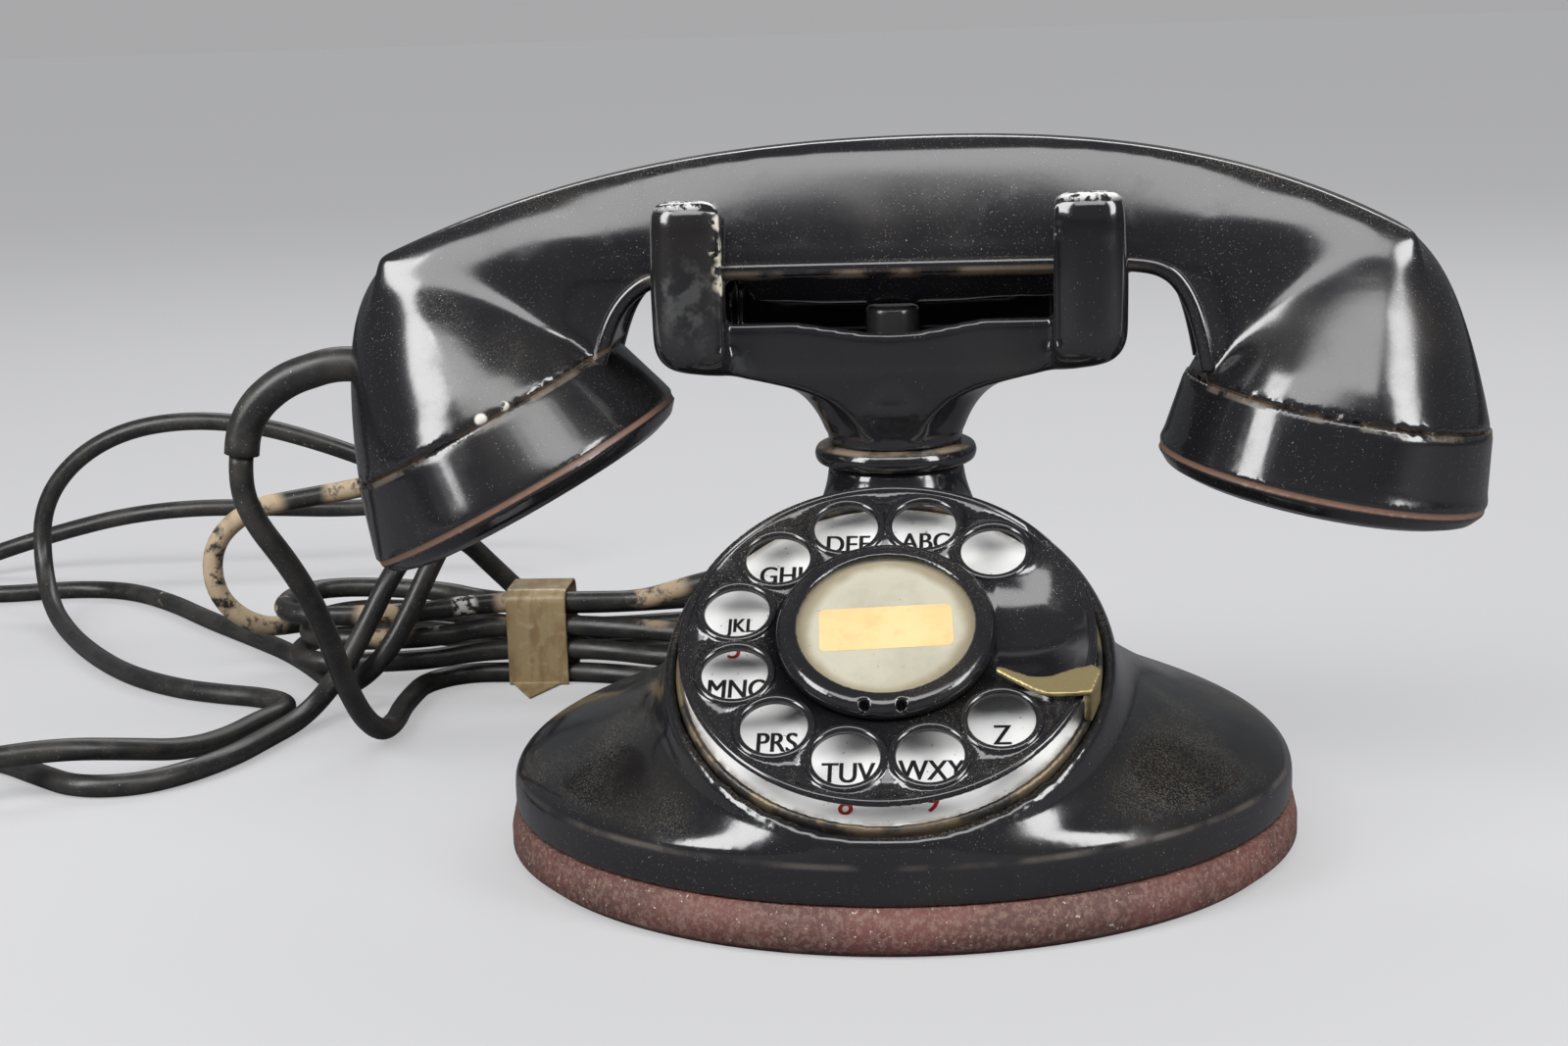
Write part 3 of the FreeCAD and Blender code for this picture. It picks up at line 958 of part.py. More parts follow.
make_foot_plate()
make_cradle()
make_cups(*make_handset())
make_dial_case()
make_finger_stop()
make_finger_wheel()
make_gear_train()
make_hook_switch()
make_wiring()
make_cords()

if __name__ == "__main__":
    os.makedirs("parts", exist_ok=True)
    for name, shape in PARTS.items():
        shape.exportStep("parts/%s.step" % name)
        print(name, len(shape.Solids), round(shape.Volume, 1), shape.isValid())
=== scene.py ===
# %% [markdown]
# # A cradle desk telephone
# The object is a rotary telephone of the years before plastic: a cast foot with a sloping dial, a
# forked cradle on a neck, a one-piece moulded handset, and two rubber cords, one of them tied up in
# a hank with old tape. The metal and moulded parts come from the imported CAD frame, so every piece
# below takes its place from that frame. Blender adds what CAD leaves out: smooth shading, lettering,
# soft cords, and a finish for each piece with the dust, scratches and worn edges of its age.

# %% Frame, tools and the size of the CAD model
import bmesh
import bpy
import math
import numpy as np
from mathutils import Matrix, Vector


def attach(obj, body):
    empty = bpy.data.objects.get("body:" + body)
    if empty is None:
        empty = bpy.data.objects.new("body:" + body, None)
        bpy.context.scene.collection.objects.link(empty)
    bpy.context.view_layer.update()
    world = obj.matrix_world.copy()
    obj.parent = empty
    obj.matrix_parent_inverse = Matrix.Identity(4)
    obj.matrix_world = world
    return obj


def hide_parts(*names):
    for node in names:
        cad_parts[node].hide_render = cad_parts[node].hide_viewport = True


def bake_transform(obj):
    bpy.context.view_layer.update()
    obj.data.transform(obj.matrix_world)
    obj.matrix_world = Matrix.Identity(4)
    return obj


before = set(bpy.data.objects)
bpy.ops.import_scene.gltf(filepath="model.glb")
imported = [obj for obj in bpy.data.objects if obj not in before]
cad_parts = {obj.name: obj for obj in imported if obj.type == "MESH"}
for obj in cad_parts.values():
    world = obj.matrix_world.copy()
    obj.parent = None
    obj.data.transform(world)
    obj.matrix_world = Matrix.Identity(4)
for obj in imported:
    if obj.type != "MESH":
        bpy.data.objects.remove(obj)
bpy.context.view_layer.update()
MM = 0.001

# %% [markdown]
# ## Camera
# The telephone is seen from a little above and slightly from the right, with a lens of about 59 mm on
# a 36 mm wide frame. A camera looks along its own -Z, so its matrix is built from three directions:
# right, up, and the reverse of where it looks. Yaw, pitch and roll give those directions.

# %% Camera
LENS, FRAME_WIDE = 59.05, 36.0
EYE = np.array([24.7, -498.2, 168.6]) * MM
YAW, PITCH, ROLL = (math.radians(a) for a in (5.36, 11.87, 1.90))


def camera_axes(yaw, pitch, roll):
    """Right, up and backward directions: look turns left by yaw and down by pitch, then both others
    turn about it by roll."""
    level = math.cos(pitch)
    look = np.array([-math.sin(yaw) * level, math.cos(yaw) * level, -math.sin(pitch)])
    right = np.array([math.cos(yaw), math.sin(yaw), 0.0])
    down = -np.cross(right, look)
    turned_right = math.cos(roll) * right + math.sin(roll) * down
    turned_down = math.cos(roll) * down - math.sin(roll) * right
    return turned_right, -turned_down, -look


def put_object(name, data):
    """New object of that mesh, curve, lamp or camera in the scene."""
    holder = bpy.data.objects.new(name, data)
    bpy.context.scene.collection.objects.link(holder)
    return holder


def make_camera():
    """Camera at the eye, with the three directions and the place as its matrix's columns."""
    lens = bpy.data.cameras.new("view")
    lens.lens, lens.sensor_width = LENS, FRAME_WIDE
    lens.clip_start, lens.clip_end = 0.01, 20.0
    eye = put_object("view", lens)
    axes = np.stack([*camera_axes(YAW, PITCH, ROLL), EYE], axis=1)
    eye.matrix_world = Matrix([*axes.tolist(), [0, 0, 0, 1]])
    bpy.context.scene.camera = eye


make_camera()
bpy.context.scene.view_settings.view_transform = "Standard"
print("camera at", EYE.round(3))

# %% [markdown]
# ## Grids and copies
# Most shapes here are a grid of points worked out at once with numpy: one parameter runs along the
# piece and the other round it. A grid closes round a tube or a turned ring by joining its last row to
# its first. Where a casting has cut-outs that a grid would make hard to follow, the CAD solid's own
# mesh is copied, its loose triangles are joined, and only the shading changes.

# %% Grids and turned pieces
def put_mesh(name, points, faces, smooth=True):
    """Object at the origin from points in metres and faces as lists of point numbers."""
    mesh = bpy.data.meshes.new(name)
    mesh.from_pydata([tuple(p) for p in np.asarray(points).tolist()], [], faces)
    mesh.validate()
    piece = put_object(name, mesh)
    mesh.polygons.foreach_set("use_smooth", [smooth] * len(mesh.polygons))
    return piece


def read_values(items, key, width=1, kind=float):
    """One value, or a row of them, for each point, edge, corner or face."""
    values = np.zeros(len(items) * width, dtype=kind)
    items.foreach_get(key, values)
    return values.reshape(-1, width) if width > 1 else values


def curve_mesh(curve):
    """Points and faces of a curve or a word once Blender has made it a mesh."""
    holder = put_object(curve.name, curve)
    read = bpy.data.meshes.new_from_object(holder)
    points = read_values(read.vertices, "co", 3)
    faces = [list(face.vertices) for face in read.polygons]
    bpy.data.objects.remove(holder)
    bpy.data.meshes.remove(read)
    return points, faces


def grid_faces(rows, columns, close_rows=False, close_columns=False):
    """Quads between neighbouring points of a grid whose point i, j has the number i times columns
    plus j."""
    i = np.arange(rows if close_rows else rows - 1)
    j = np.arange(columns if close_columns else columns - 1)
    i, j = np.meshgrid(i, j, indexing="ij")
    a, b = i * columns + j, ((i + 1) % rows) * columns + j
    c, d = ((i + 1) % rows) * columns + (j + 1) % columns, i * columns + (j + 1) % columns
    return np.stack([a, b, c, d], axis=-1).reshape(-1, 4).tolist()


def set_grid_uv(piece, u, v):
    """UV map from the same two parameters that made the grid, one value for each point."""
    layer = piece.data.uv_layers.new(name="UVMap")
    corner = read_values(piece.data.loops, "vertex_index", kind=np.int32)
    uv = np.stack([np.asarray(u).ravel()[corner], np.asarray(v).ravel()[corner]], axis=1)
    layer.data.foreach_set("uv", uv.ravel())


def edit_mesh(piece, change):
    """Loads a piece's mesh into an editable one, changes that, and writes it back."""
    mesh = bmesh.new()
    mesh.from_mesh(piece.data)
    change(mesh)
    mesh.to_mesh(piece.data)
    mesh.free()


def outward(piece):
    """Turns every face of a closed shell to point out of it."""
    edit_mesh(piece, lambda mesh: bmesh.ops.recalc_face_normals(mesh, faces=mesh.faces))


def merge_doubles(piece, distance=2e-6):
    """Joins points that are nearer than the distance in metres."""
    edit_mesh(piece, lambda mesh: bmesh.ops.remove_doubles(mesh, verts=mesh.verts, dist=distance))


def eased(corners, radius, steps=4):
    """Profile with each corner rounded: points of the quadratic curve through the corner's two
    neighbours at the given distance from it."""
    corners = np.asarray(corners, float)
    t = np.linspace(0, 1, steps)[:, None]
    out = []
    for before, here, after in zip(np.roll(corners, 1, 0), corners, np.roll(corners, -1, 0)):
        a, b = before - here, after - here
        la, lb = np.linalg.norm(a), np.linalg.norm(b)
        reach = min(radius, 0.45 * la, 0.45 * lb)
        p, q = here + a / la * reach, here + b / lb * reach
        out.append((1 - t) ** 2 * p + 2 * t * (1 - t) * here + t ** 2 * q)
    return np.concatenate(out)


def turned_piece(name, profile, around, sharp_angle=40):
    """Closed profile of (radius, height) carried round the z axis: x is radius times cosine of t, y is
    radius times sine of t, and z is height."""
    radius, height = np.asarray(profile, float).T
    t = np.linspace(0, 2 * np.pi, around, endpoint=False)[:, None]
    points = np.stack([radius * np.cos(t), radius * np.sin(t), height + 0 * t], axis=-1)
    piece = put_mesh(name, points.reshape(-1, 3) * MM, grid_faces(around, len(profile), True, True))
    merge_doubles(piece)
    outward(piece)
    piece.data.set_sharp_from_angle(angle=math.radians(sharp_angle))
    return piece


print("grids ready")

# %% Copies of CAD pieces
def smooth_copy(node, name, sharp_angle=32):
    """Copy of a CAD node with its loose triangles joined and smooth shading up to an angle."""
    piece = put_object(name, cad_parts[node].data.copy())
    piece.data.materials.clear()
    merge_doubles(piece)
    piece.data.polygons.foreach_set("use_smooth", [True] * len(piece.data.polygons))
    piece.data.set_sharp_from_angle(angle=math.radians(sharp_angle))
    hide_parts(node)
    return piece


print("copies ready")

# %% [markdown]
# A moulded or cast piece has no sharp edge anywhere, and its curves run into each other. The CAD mesh
# of such a piece is copied and rebuilt as an even net, as a sculptor would remesh clay, and each point
# is then drawn towards its neighbours a few times. That rounds all edges alike and keeps the size.

# %% Moulded copies
def apply_modifiers(piece):
    """Makes what the modifiers show the piece's own mesh."""
    built = piece.evaluated_get(bpy.context.evaluated_depsgraph_get())
    rebuilt = bpy.data.meshes.new_from_object(built)
    piece.modifiers.clear()
    piece.data = rebuilt
    piece.data.polygons.foreach_set("use_smooth", [True] * len(rebuilt.polygons))


def moulded_copy(node, name, grain, passes):
    """Copy of a CAD node rebuilt as an even net of that grain in millimetres; each pass moves a point
    half way towards the middle of its neighbours."""
    piece = smooth_copy(node, name)
    net = piece.modifiers.new("net", "REMESH")
    net.mode, net.voxel_size, net.use_smooth_shade = "VOXEL", grain * MM, True
    soften = piece.modifiers.new("soften", "SMOOTH")
    soften.factor, soften.iterations = 0.5, passes
    apply_modifiers(piece)
    return piece


def mesh_points(piece):
    """Places of all points in millimetres, one row each."""
    return read_values(piece.data.vertices, "co", 3) / MM


def move_points(piece, points):
    """Moves all points to places in millimetres."""
    piece.data.vertices.foreach_set("co", (points * MM).ravel())
    piece.data.update()


def ramp(value, low, high):
    """0 below low, 1 above high, and 3 t squared less 2 t cubed between them."""
    t = np.clip((value - low) / (high - low), 0, 1)
    return t * t * (3 - 2 * t)


def soften_where(piece, weights, passes):
    """More smoothing passes where the weight of a point is above 0, in steps of a tenth."""
    group = piece.vertex_groups.new(name="soft")
    for level in range(1, 11):
        chosen = np.flatnonzero(np.round(weights * 10).astype(int) == level)
        if len(chosen):
            group.add(chosen.tolist(), level / 10, "REPLACE")
    soften = piece.modifiers.new("soften", "SMOOTH")
    soften.factor, soften.iterations, soften.vertex_group = 0.5, passes, group.name
    apply_modifiers(piece)
    piece.vertex_groups.clear()


def tell(*pieces):
    """Prints the number of triangles in each piece."""
    for piece in pieces:
        print(piece.name, sum(len(face.vertices) - 2 for face in piece.data.polygons), "triangles")


print("moulded copies ready")

# %% [markdown]
# ## Finishes
# A finish is a Principled shader with its colour, roughness and bump worked out from noise in the
# piece's own coordinates, in metres. A helper adds nodes, another turns noise into a soft mask between
# two levels, and a third lays one colour over another through a mask. Age is made of a few such
# layers: a haze of dust on faces that look up, fine pale specks, and worn places near a point or
# between two planes.

# %% Finish helpers
class Finish:
    """One material while its layers are added: colour and roughness are the sockets so far."""

    def __init__(self, name, colour, roughness, metallic=0.0, specular=0.5):
        self.material = bpy.data.materials.new(name)
        self.material.use_nodes = True
        self.tree = self.material.node_tree
        self.shader = self.tree.nodes["Principled BSDF"]
        self.colour, self.roughness, self.slopes = (*colour, 1), roughness, None
        for key, value in (("Base Color", self.colour), ("Roughness", roughness),
                           ("Metallic", metallic), ("Specular IOR Level", specular)):
            self.shader.inputs[key].default_value = value
        self.place = self.add("ShaderNodeTexCoord").outputs["Object"]

    def add(self, kind, inputs=(), **settings):
        """New node with its settings; the inputs are linked or set by number or name."""
        node = self.tree.nodes.new(kind)
        for key, value in settings.items():
            setattr(node, key, value)
        for key, value in dict(inputs).items():
            self.feed(node.inputs[key], value)
        return node

    def feed(self, socket, value):
        """Links a socket, or sets a plain value."""
        if isinstance(value, bpy.types.NodeSocket):
            self.tree.links.new(value, socket)
        elif isinstance(value, tuple) and len(value) == 3 and socket.type == "RGBA":
            socket.default_value = (*value, 1)
        else:
            socket.default_value = value

    def maths(self, operation, a, b, clamp=False):
        node = self.add("ShaderNodeMath", {0: a, 1: b}, operation=operation, use_clamp=clamp)
        return node.outputs[0]

    def times(self, a, b):
        return self.maths("MULTIPLY", a, b)

    def between(self, value, low, high):
        """0 below low, 1 above high, and a soft rise between them."""
        levels = {"Value": value, "From Min": low, "From Max": high}
        return self.add("ShaderNodeMapRange", levels, interpolation_type="SMOOTHSTEP").outputs[0]

    def noise(self, scale, detail=2.0, rough=0.5, stretch=(1, 1, 1), shift=(0, 0, 0)):
        place = self.place
        if stretch != (1, 1, 1) or any(shift):
            mapping = {"Vector": place, "Scale": stretch, "Location": shift}
            place = self.add("ShaderNodeMapping", mapping).outputs[0]
        grain = {"Vector": place, "Scale": scale, "Detail": detail, "Roughness": rough}
        return self.add("ShaderNodeTexNoise", grain).outputs["Fac"]

    def patches(self, scale, low, high, detail=4, rough=0.5, **place):
        """Mask of irregular patches: a noise, soft between two of its levels."""
        return self.between(self.noise(scale, detail, rough, **place), low, high)

    def upward(self, low, high):
        """1 where the surface looks up: its normal's z rises between two values."""
        normal = self.add("ShaderNodeNewGeometry").outputs["Normal"]
        split = self.add("ShaderNodeSeparateXYZ", {0: normal})
        return self.between(split.outputs["Z"], low, high)

    def vectors(self, operation, a, b, result="Vector"):
        return self.add("ShaderNodeVectorMath", {0: a, 1: b}, operation=operation).outputs[result]

    def distance(self, centre):
        """Distance in metres from a point given in millimetres."""
        return self.vectors("DISTANCE", self.place, [c * MM for c in centre], "Value")

    def near(self, centre, radius, soft=0.4):
        """1 inside a ball of that radius in millimetres about a point, fading over its outer part."""
        reach = self.between(self.distance(centre), radius * (1 - soft) * MM, radius * MM)
        return self.maths("SUBTRACT", 1.0, reach, clamp=True)

    def plane_band(self, origin, normal, low, high, soft):
        """1 between two distances in millimetres along a direction from a point."""
        away = self.vectors("SUBTRACT", self.place, [c * MM for c in origin])
        along = self.vectors("DOT_PRODUCT", away, normal, "Value")
        rise = self.between(along, (low - soft) * MM, (low + soft) * MM)
        fall = self.between(along, (high - soft) * MM, (high + soft) * MM)
        return self.maths("SUBTRACT", rise, fall, clamp=True)

    def level_band(self, height, low, high, soft):
        """1 between two distances above a height."""
        return self.plane_band((0, 0, height), (0, 0, 1), low, high, soft)

    def mix(self, kind, mask, under, over):
        """Socket that is one value where the mask is 0 and the other where it is 1."""
        first, result = {"RGBA": (6, 2), "FLOAT": (2, 0)}[kind]
        node = self.add("ShaderNodeMix", {0: mask, first: under, first + 1: over}, data_type=kind)
        return node.outputs[result]

    def lay(self, mask, colour=None, roughness=None, strength=1.0, broken=None):
        """Lays a colour and a roughness over what is there, through a mask, which is a socket or the
        values of patches. The mask may be broken up by other patches."""
        if isinstance(mask, tuple):
            mask = self.patches(*mask)
        if broken is not None:
            mask = self.times(mask, self.patches(*broken))
        if strength != 1.0:
            mask = self.times(mask, strength)
        if colour is not None:
            self.colour = self.mix("RGBA", mask, self.colour, colour)
            self.feed(self.shader.inputs["Base Color"], self.colour)
        if roughness is not None:
            self.roughness = self.mix("FLOAT", mask, self.roughness, roughness)
            self.feed(self.shader.inputs["Roughness"], self.roughness)

    def spots(self, places, broken, colour, roughness, strength=1.0):
        """Ragged spots of a colour; each place is a middle and a radius in millimetres."""
        for middle, radius in places:
            self.lay(self.near(middle, radius), colour, roughness, strength, broken)

    def bump(self, height, strength, distance):
        """Adds a height's slopes to the bumps so far; the distance is in metres."""
        inputs = {"Strength": strength, "Distance": distance, "Height": height}
        if self.slopes is not None:
            inputs["Normal"] = self.slopes
        self.slopes = self.add("ShaderNodeBump", inputs).outputs["Normal"]
        self.feed(self.shader.inputs["Normal"], self.slopes)

    def specks(self, scale, amount, colour, roughness=0.8, strength=0.9):
        """Grains of dust: the highest peaks of a fine noise."""
        self.lay((scale, 0.84 - amount, 0.87 - amount, 1.0), colour, roughness, strength)


def dress(pieces, finish):
    """Gives a piece, or each piece of a list, the finish as its only material."""
    for piece in pieces if isinstance(pieces, list) else [pieces]:
        piece.data.materials.clear()
        piece.data.materials.append(finish.material)


print("finish helpers ready")

# %% Black moulding and its dust
TAN_DUST, PALE_DUST = (0.42, 0.36, 0.27), (0.62, 0.58, 0.50)
BROWN_WEAR, RUBBED = (0.20, 0.125, 0.075), (0.34, 0.25, 0.17)


def black_moulding(name, gloss, dust, specks=0.0):
    """Glossy black of the phone: smears that dull the gloss, a film of dust where the surface looks up,
    and fine grains of dust that lie thicker in some regions."""
    finish = Finish(name, (0.010, 0.010, 0.012), gloss, specular=0.8)
    finish.lay((28, 0.50, 0.72, 3), (0.016, 0.014, 0.013), gloss + 0.08)
    finish.lay((120, 0.50, 0.74, 5, 0.65), roughness=gloss + 0.16, strength=0.55)
    region = finish.patches(38, 0.36, 0.70, 3, 0.6, shift=(0.05, 0.3, 0.1))
    film = finish.times(finish.upward(0.35, 1.0), region)
    finish.lay(film, (0.20, 0.18, 0.14), 0.5, dust, (2600, 0.42, 0.66, 3, 0.6))
    for scale, level, colour in ((4600, 0.765, TAN_DUST), (3600, 0.80, PALE_DUST)):
        low = level - specks
        thicker = finish.maths("ADD", region, 0.2)
        finish.lay(thicker, colour, 0.8, 0.7, (scale, low, low + 0.03, 0.5))
    finish.bump(finish.noise(1100, 3), 0.08, 0.00005)
    finish.bump(finish.noise(60, 2), 0.04, 0.0003)
    return finish


print("black moulding ready")

# %% [markdown]
# ## Floor and light
# The floor and the world are the same pale grey to the eye, but darker to light that bounces, so the
# telephone's gloss stays deep. The floor has a pale glow of its own to the eye, so that it stays even
# far from the lamps. Four soft lamps draw the forms: tall ones on the left and the right, a wide one
# high in front for the crown and the dial, and one behind for the outline of the handle.

# %% Floor, world and lamps
FLOOR_SPAN = 8.0
FLOOR_PALE, FLOOR_GLOW, FLOOR_DARK = (0.24, 0.24, 0.245), (0.37, 0.37, 0.375), (0.16, 0.16, 0.17)
ROOM_PALE, ROOM_DARK = (0.395, 0.395, 0.402), (0.13, 0.135, 0.14)


def by_camera(tree, seen, reflected):
    """Colour that is one thing to the eye and another to light that bounces: the room stays pale in
    the view, and dark in the telephone's gloss."""
    path = tree.nodes.new("ShaderNodeLightPath")
    mix = tree.nodes.new("ShaderNodeMix")
    mix.data_type = "RGBA"
    tree.links.new(path.outputs["Is Camera Ray"], mix.inputs[0])
    mix.inputs[6].default_value, mix.inputs[7].default_value = (*reflected, 1), (*seen, 1)
    return mix.outputs[2]


def make_floor():
    """Large level square at the height of the telephone's foot."""
    corners = [(x * FLOOR_SPAN, y * FLOOR_SPAN, 0) for x, y in ((-1, -1), (1, -1), (1, 1), (-1, 1))]
    floor = put_mesh("floor", corners, [[0, 1, 2, 3]], smooth=False)
    finish = Finish("floor_paper", FLOOR_DARK, 0.9, specular=0.03)
    sockets = finish.shader.inputs
    finish.feed(sockets["Base Color"], by_camera(finish.tree, FLOOR_PALE, FLOOR_DARK))
    finish.feed(sockets["Emission Color"], by_camera(finish.tree, FLOOR_GLOW, (0, 0, 0)))
    sockets["Emission Strength"].default_value = 1.0
    dress(floor, finish)


def make_world():
    """Even grey light from all round."""
    world = bpy.data.worlds.new("room")
    bpy.context.scene.world = world
    world.use_nodes = True
    shade = world.node_tree.nodes["Background"]
    colour = by_camera(world.node_tree, ROOM_PALE, ROOM_DARK)
    world.node_tree.links.new(colour, shade.inputs["Color"])


def lamp(name, place, target, size, power):
    """Rectangular lamp of that width and height in metres that looks at the target."""
    light = bpy.data.lights.new(name, "AREA")
    light.shape, light.size, light.size_y = "RECTANGLE", size[0], size[1]
    light.energy = power
    holder = put_object(name, light)
    turn = (Vector(target) - Vector(place)).to_track_quat("-Z", "Y")
    holder.matrix_world = Matrix.Translation(place) @ turn.to_matrix().to_4x4()


make_floor()
make_world()
lamp("front_left", (-0.70, -0.52, 0.55), (-0.03, 0, 0.09), (0.30, 0.75), 8.0)
lamp("front_right", (0.78, -0.48, 0.50), (0.04, 0, 0.09), (0.28, 0.75), 7.5)
lamp("front_high", (0.02, -0.75, 0.95), (0, 0, 0.06), (1.30, 0.45), 9.0)
lamp("behind", (0.05, 0.80, 0.80), (0, 0.02, 0.10), (1.20, 0.30), 5.5)
print("floor, world and four lamps")

# %% [markdown]
# ## Cords
# Both cords are round rubber, 5 mm thick. A cord's own line is a smooth NURBS curve steered by given
# points: the handset cord falls from the sleeve, is wound three and a half times in a flat hank, and
# rises to the left bush behind the foot; the line cord leaves the right bush, wanders in wide loops on
# the left, and ends behind the hank in three spade tongues. The hank's turns are worked out by a loop.
# The line is then read back from the curve, and a round section is carried along it.

# %% Routes of the cords
CORD_D = 5.0
LIE = 2.6
HANK_Y, LAYER, WAIST = 118.0, 6.0, 5.2
WAIST_RIGHT, WAIST_LEFT, FOLD_RIGHT, FOLD_LEFT = -80, -108, 40, 34
HANK_LOOPS = [(-9.0, -156.0, 18.0, 17.0), (-17.0, -153.0, 17.0, 18.0), (-6.0, -159.0, 19.0, 17.5)]
HANK_TOP = LIE + len(HANK_LOOPS) * LAYER


def lying(points):
    """Route whose points without a height of their own lie on the floor."""
    return [(*point, LIE)[:3] for point in points]


def hank_route():
    """Each loop runs out to its right fold at one height, back and up by one layer to its left fold,
    and out again; along the waist all runs are drawn in to the same half width. A fold starts a fixed
    length before its end."""
    front, back = HANK_Y - WAIST, HANK_Y + WAIST
    points, z = [(-101, front, LIE)], LIE
    for right, left, wide_right, wide_left in HANK_LOOPS:
        near, away = HANK_Y - wide_right, HANK_Y + wide_right
        points += [(WAIST_RIGHT, front, z), (right - FOLD_RIGHT, near, z), (right, near, z),
                   (right, away, z + 0.6), (right - FOLD_RIGHT, away, z + 1.5),
                   (WAIST_RIGHT, back, z + 2.6), (WAIST_LEFT, back, z + 3.4)]
        near, away = HANK_Y - wide_left, HANK_Y + wide_left
        points += [(left + FOLD_LEFT, away, z + 4.2), (left, away, z + 5.4)]
        z += LAYER
        points += [(left, near, z), (left + FOLD_LEFT, near, z), (WAIST_LEFT, front, z)]
    return points + [(WAIST_RIGHT, front, z)]


HANDSET_FALL = [
    (-134.7, 10.8, 76.9), (-135.6, 10.8, 70.5), (-133.2, 12, 62.5), (-128.3, 15.5, 53.5),
    (-125.3, 21, 44), (-124.3, 28, 34.5), (-124.2, 35.5, 25), (-123.9, 43, 16), (-123, 50.5, 8.4),
    (-121.6, 59, 3.4), (-121.2, 70), (-122.4, 81), (-122.4, 92.5), (-121.8, 104), (-113.2, 112.8),
    (-101, 112.8)]
HANDSET_RISE = [
    (-80, 112.8, HANK_TOP), (-68.5, 112.8, HANK_TOP), (-55.5, 110, 25), (-42.5, 105.5, 29),
    (-30.5, 100.5, 29), (-21.5, 96.5, 23.5), (-16.8, 90.5, 17.5), (-16, 82.5, 14),
    (-16, 74.1, 14)]
LINE_ROUTE = [
    (16, 74.1, 14), (16, 82, 13.6), (15.5, 92, 9.4), (14, 107, 4), (8.8, 123), (-4.5, 138),
    (-25, 144), (-56, 143.5), (-82, 143.5, 3.5), (-99.5, 142.5, 11), (-109.5, 135.5, 24),
    (-115, 125, 34.5), (-118.5, 113, 38.5), (-122.5, 103.5, 38), (-127, 94.5, 31),
    (-132, 90, 20.5), (-137, 86, 11.5), (-141.8, 80, 5), (-145, 70.5), (-148.3, 58), (-151.8, 44),
    (-158.5, 31), (-167.5, 22), (-180.5, 21), (-191.5, 29.5), (-204.5, 40.5), (-221, 48),
    (-239, 49), (-253, 38.5), (-254.5, 21.5), (-242, 9.5), (-226, 11, 4.5), (-211, 13.5, 8.5),
    (-196, 17, 10.6), (-183, 23, 10.6), (-172, 32.5, 7.6), (-163.5, 43.5, 4), (-157.8, 57),
    (-154.2, 71), (-150.6, 79), (-151.5, 86), (-159.5, 91.5), (-171.5, 95), (-184, 100.5),
    (-200, 113), (-216, 132.5), (-232, 157), (-244.5, 178, 5), (-250.5, 189.5, 16),
    (-249.5, 191, 31), (-240, 190.5, 43.5), (-225, 190, 52), (-207, 190, 55), (-188, 191, 53.5),
    (-171, 194, 48), (-155.5, 200, 40.5), (-141, 209, 32), (-127, 221.5, 25), (-118.5, 236, 20.5),
    (-123.5, 251.5, 18.5), (-139, 257.5, 18), (-157, 252.5, 18), (-176, 246.5, 17.5),
    (-200, 241, 19.5), (-222, 240, 20), (-243, 240, 18), (-262, 241, 13.5), (-279.5, 241.5, 8.5),
    (-293.5, 233, 4.5), (-296, 217), (-285.5, 204.5), (-268, 203), (-250, 209), (-232, 206.5),
    (-214, 190.5), (-196.7, 169.5), (-178, 149.5), (-163, 132.5), (-150.5, 113.5), (-144, 101.5),
    (-136, 93.3, 5.5), (-127.5, 91.3, 13.5), (-121.3, 94, 24.5), (-116.4, 97.5, 35.2),
    (-111.5, 103, 44), (-105.5, 111.5, 50.5), (-103.8, 124.5, 54), (-111.5, 136, 53.5),
    (-125.5, 137, 50), (-139, 130.5, 47), (-154, 124, 45.5), (-168.3, 119.5, 43.8),
    (-178.3, 119, 34.6), (-178.3, 119.5, 21), (-169.5, 124.5, 11.5), (-159.5, 133.5, 10.8),
    (-149.5, 142, 10), (-137.5, 148, 6.5), (-124, 151.5, 3.2), (-108, 152.6), (-88, 153.5),
    (-68.5, 158.5), (-51, 158.5)]
handset_route = lying(HANDSET_FALL[:-1]) + hank_route() + lying(HANDSET_RISE[1:])
line_route = lying(LINE_ROUTE)
print("route points:", len(handset_route), "and", len(line_route))

# %% Smooth line of a cord, and the tube along it
def along_line(line):
    """Length along a line up to each of its points."""
    return np.concatenate([[0], np.cumsum(np.linalg.norm(np.diff(line, axis=0), axis=1))])


def cord_line(name, points, spacing=1.6):
    """Points in millimetres, evenly spaced along the NURBS curve steered by the given points."""
    curve = bpy.data.curves.new(name, "CURVE")
    curve.dimensions, curve.resolution_u = "3D", 16
    spline = curve.splines.new("NURBS")
    spline.points.add(len(points) - 1)
    spline.points.foreach_set("co", [c for p in points for c in (*p, 1.0)])
    spline.order_u = 3
    spline.use_endpoint_u = True
    line, _ = curve_mesh(curve)
    along = along_line(line)
    even = np.linspace(0, along[-1], int(along[-1] / spacing) + 1)
    return np.stack([np.interp(even, along, line[:, k]) for k in range(3)], axis=1)


def line_frames(line):
    """Two sideways directions at each point: one starts level and is kept square to the line by taking
    away its part along each next direction; the other is square to both."""
    ahead = np.gradient(line, axis=0)
    ahead /= np.linalg.norm(ahead, axis=1)[:, None]
    side = np.zeros_like(line)
    now = np.cross(ahead[0], [0.3, 0.2, 1.0])
    for k, direction in enumerate(ahead):
        now = now - now @ direction * direction
        now = now / np.linalg.norm(now)
        side[k] = now
    return side, np.cross(ahead, side)


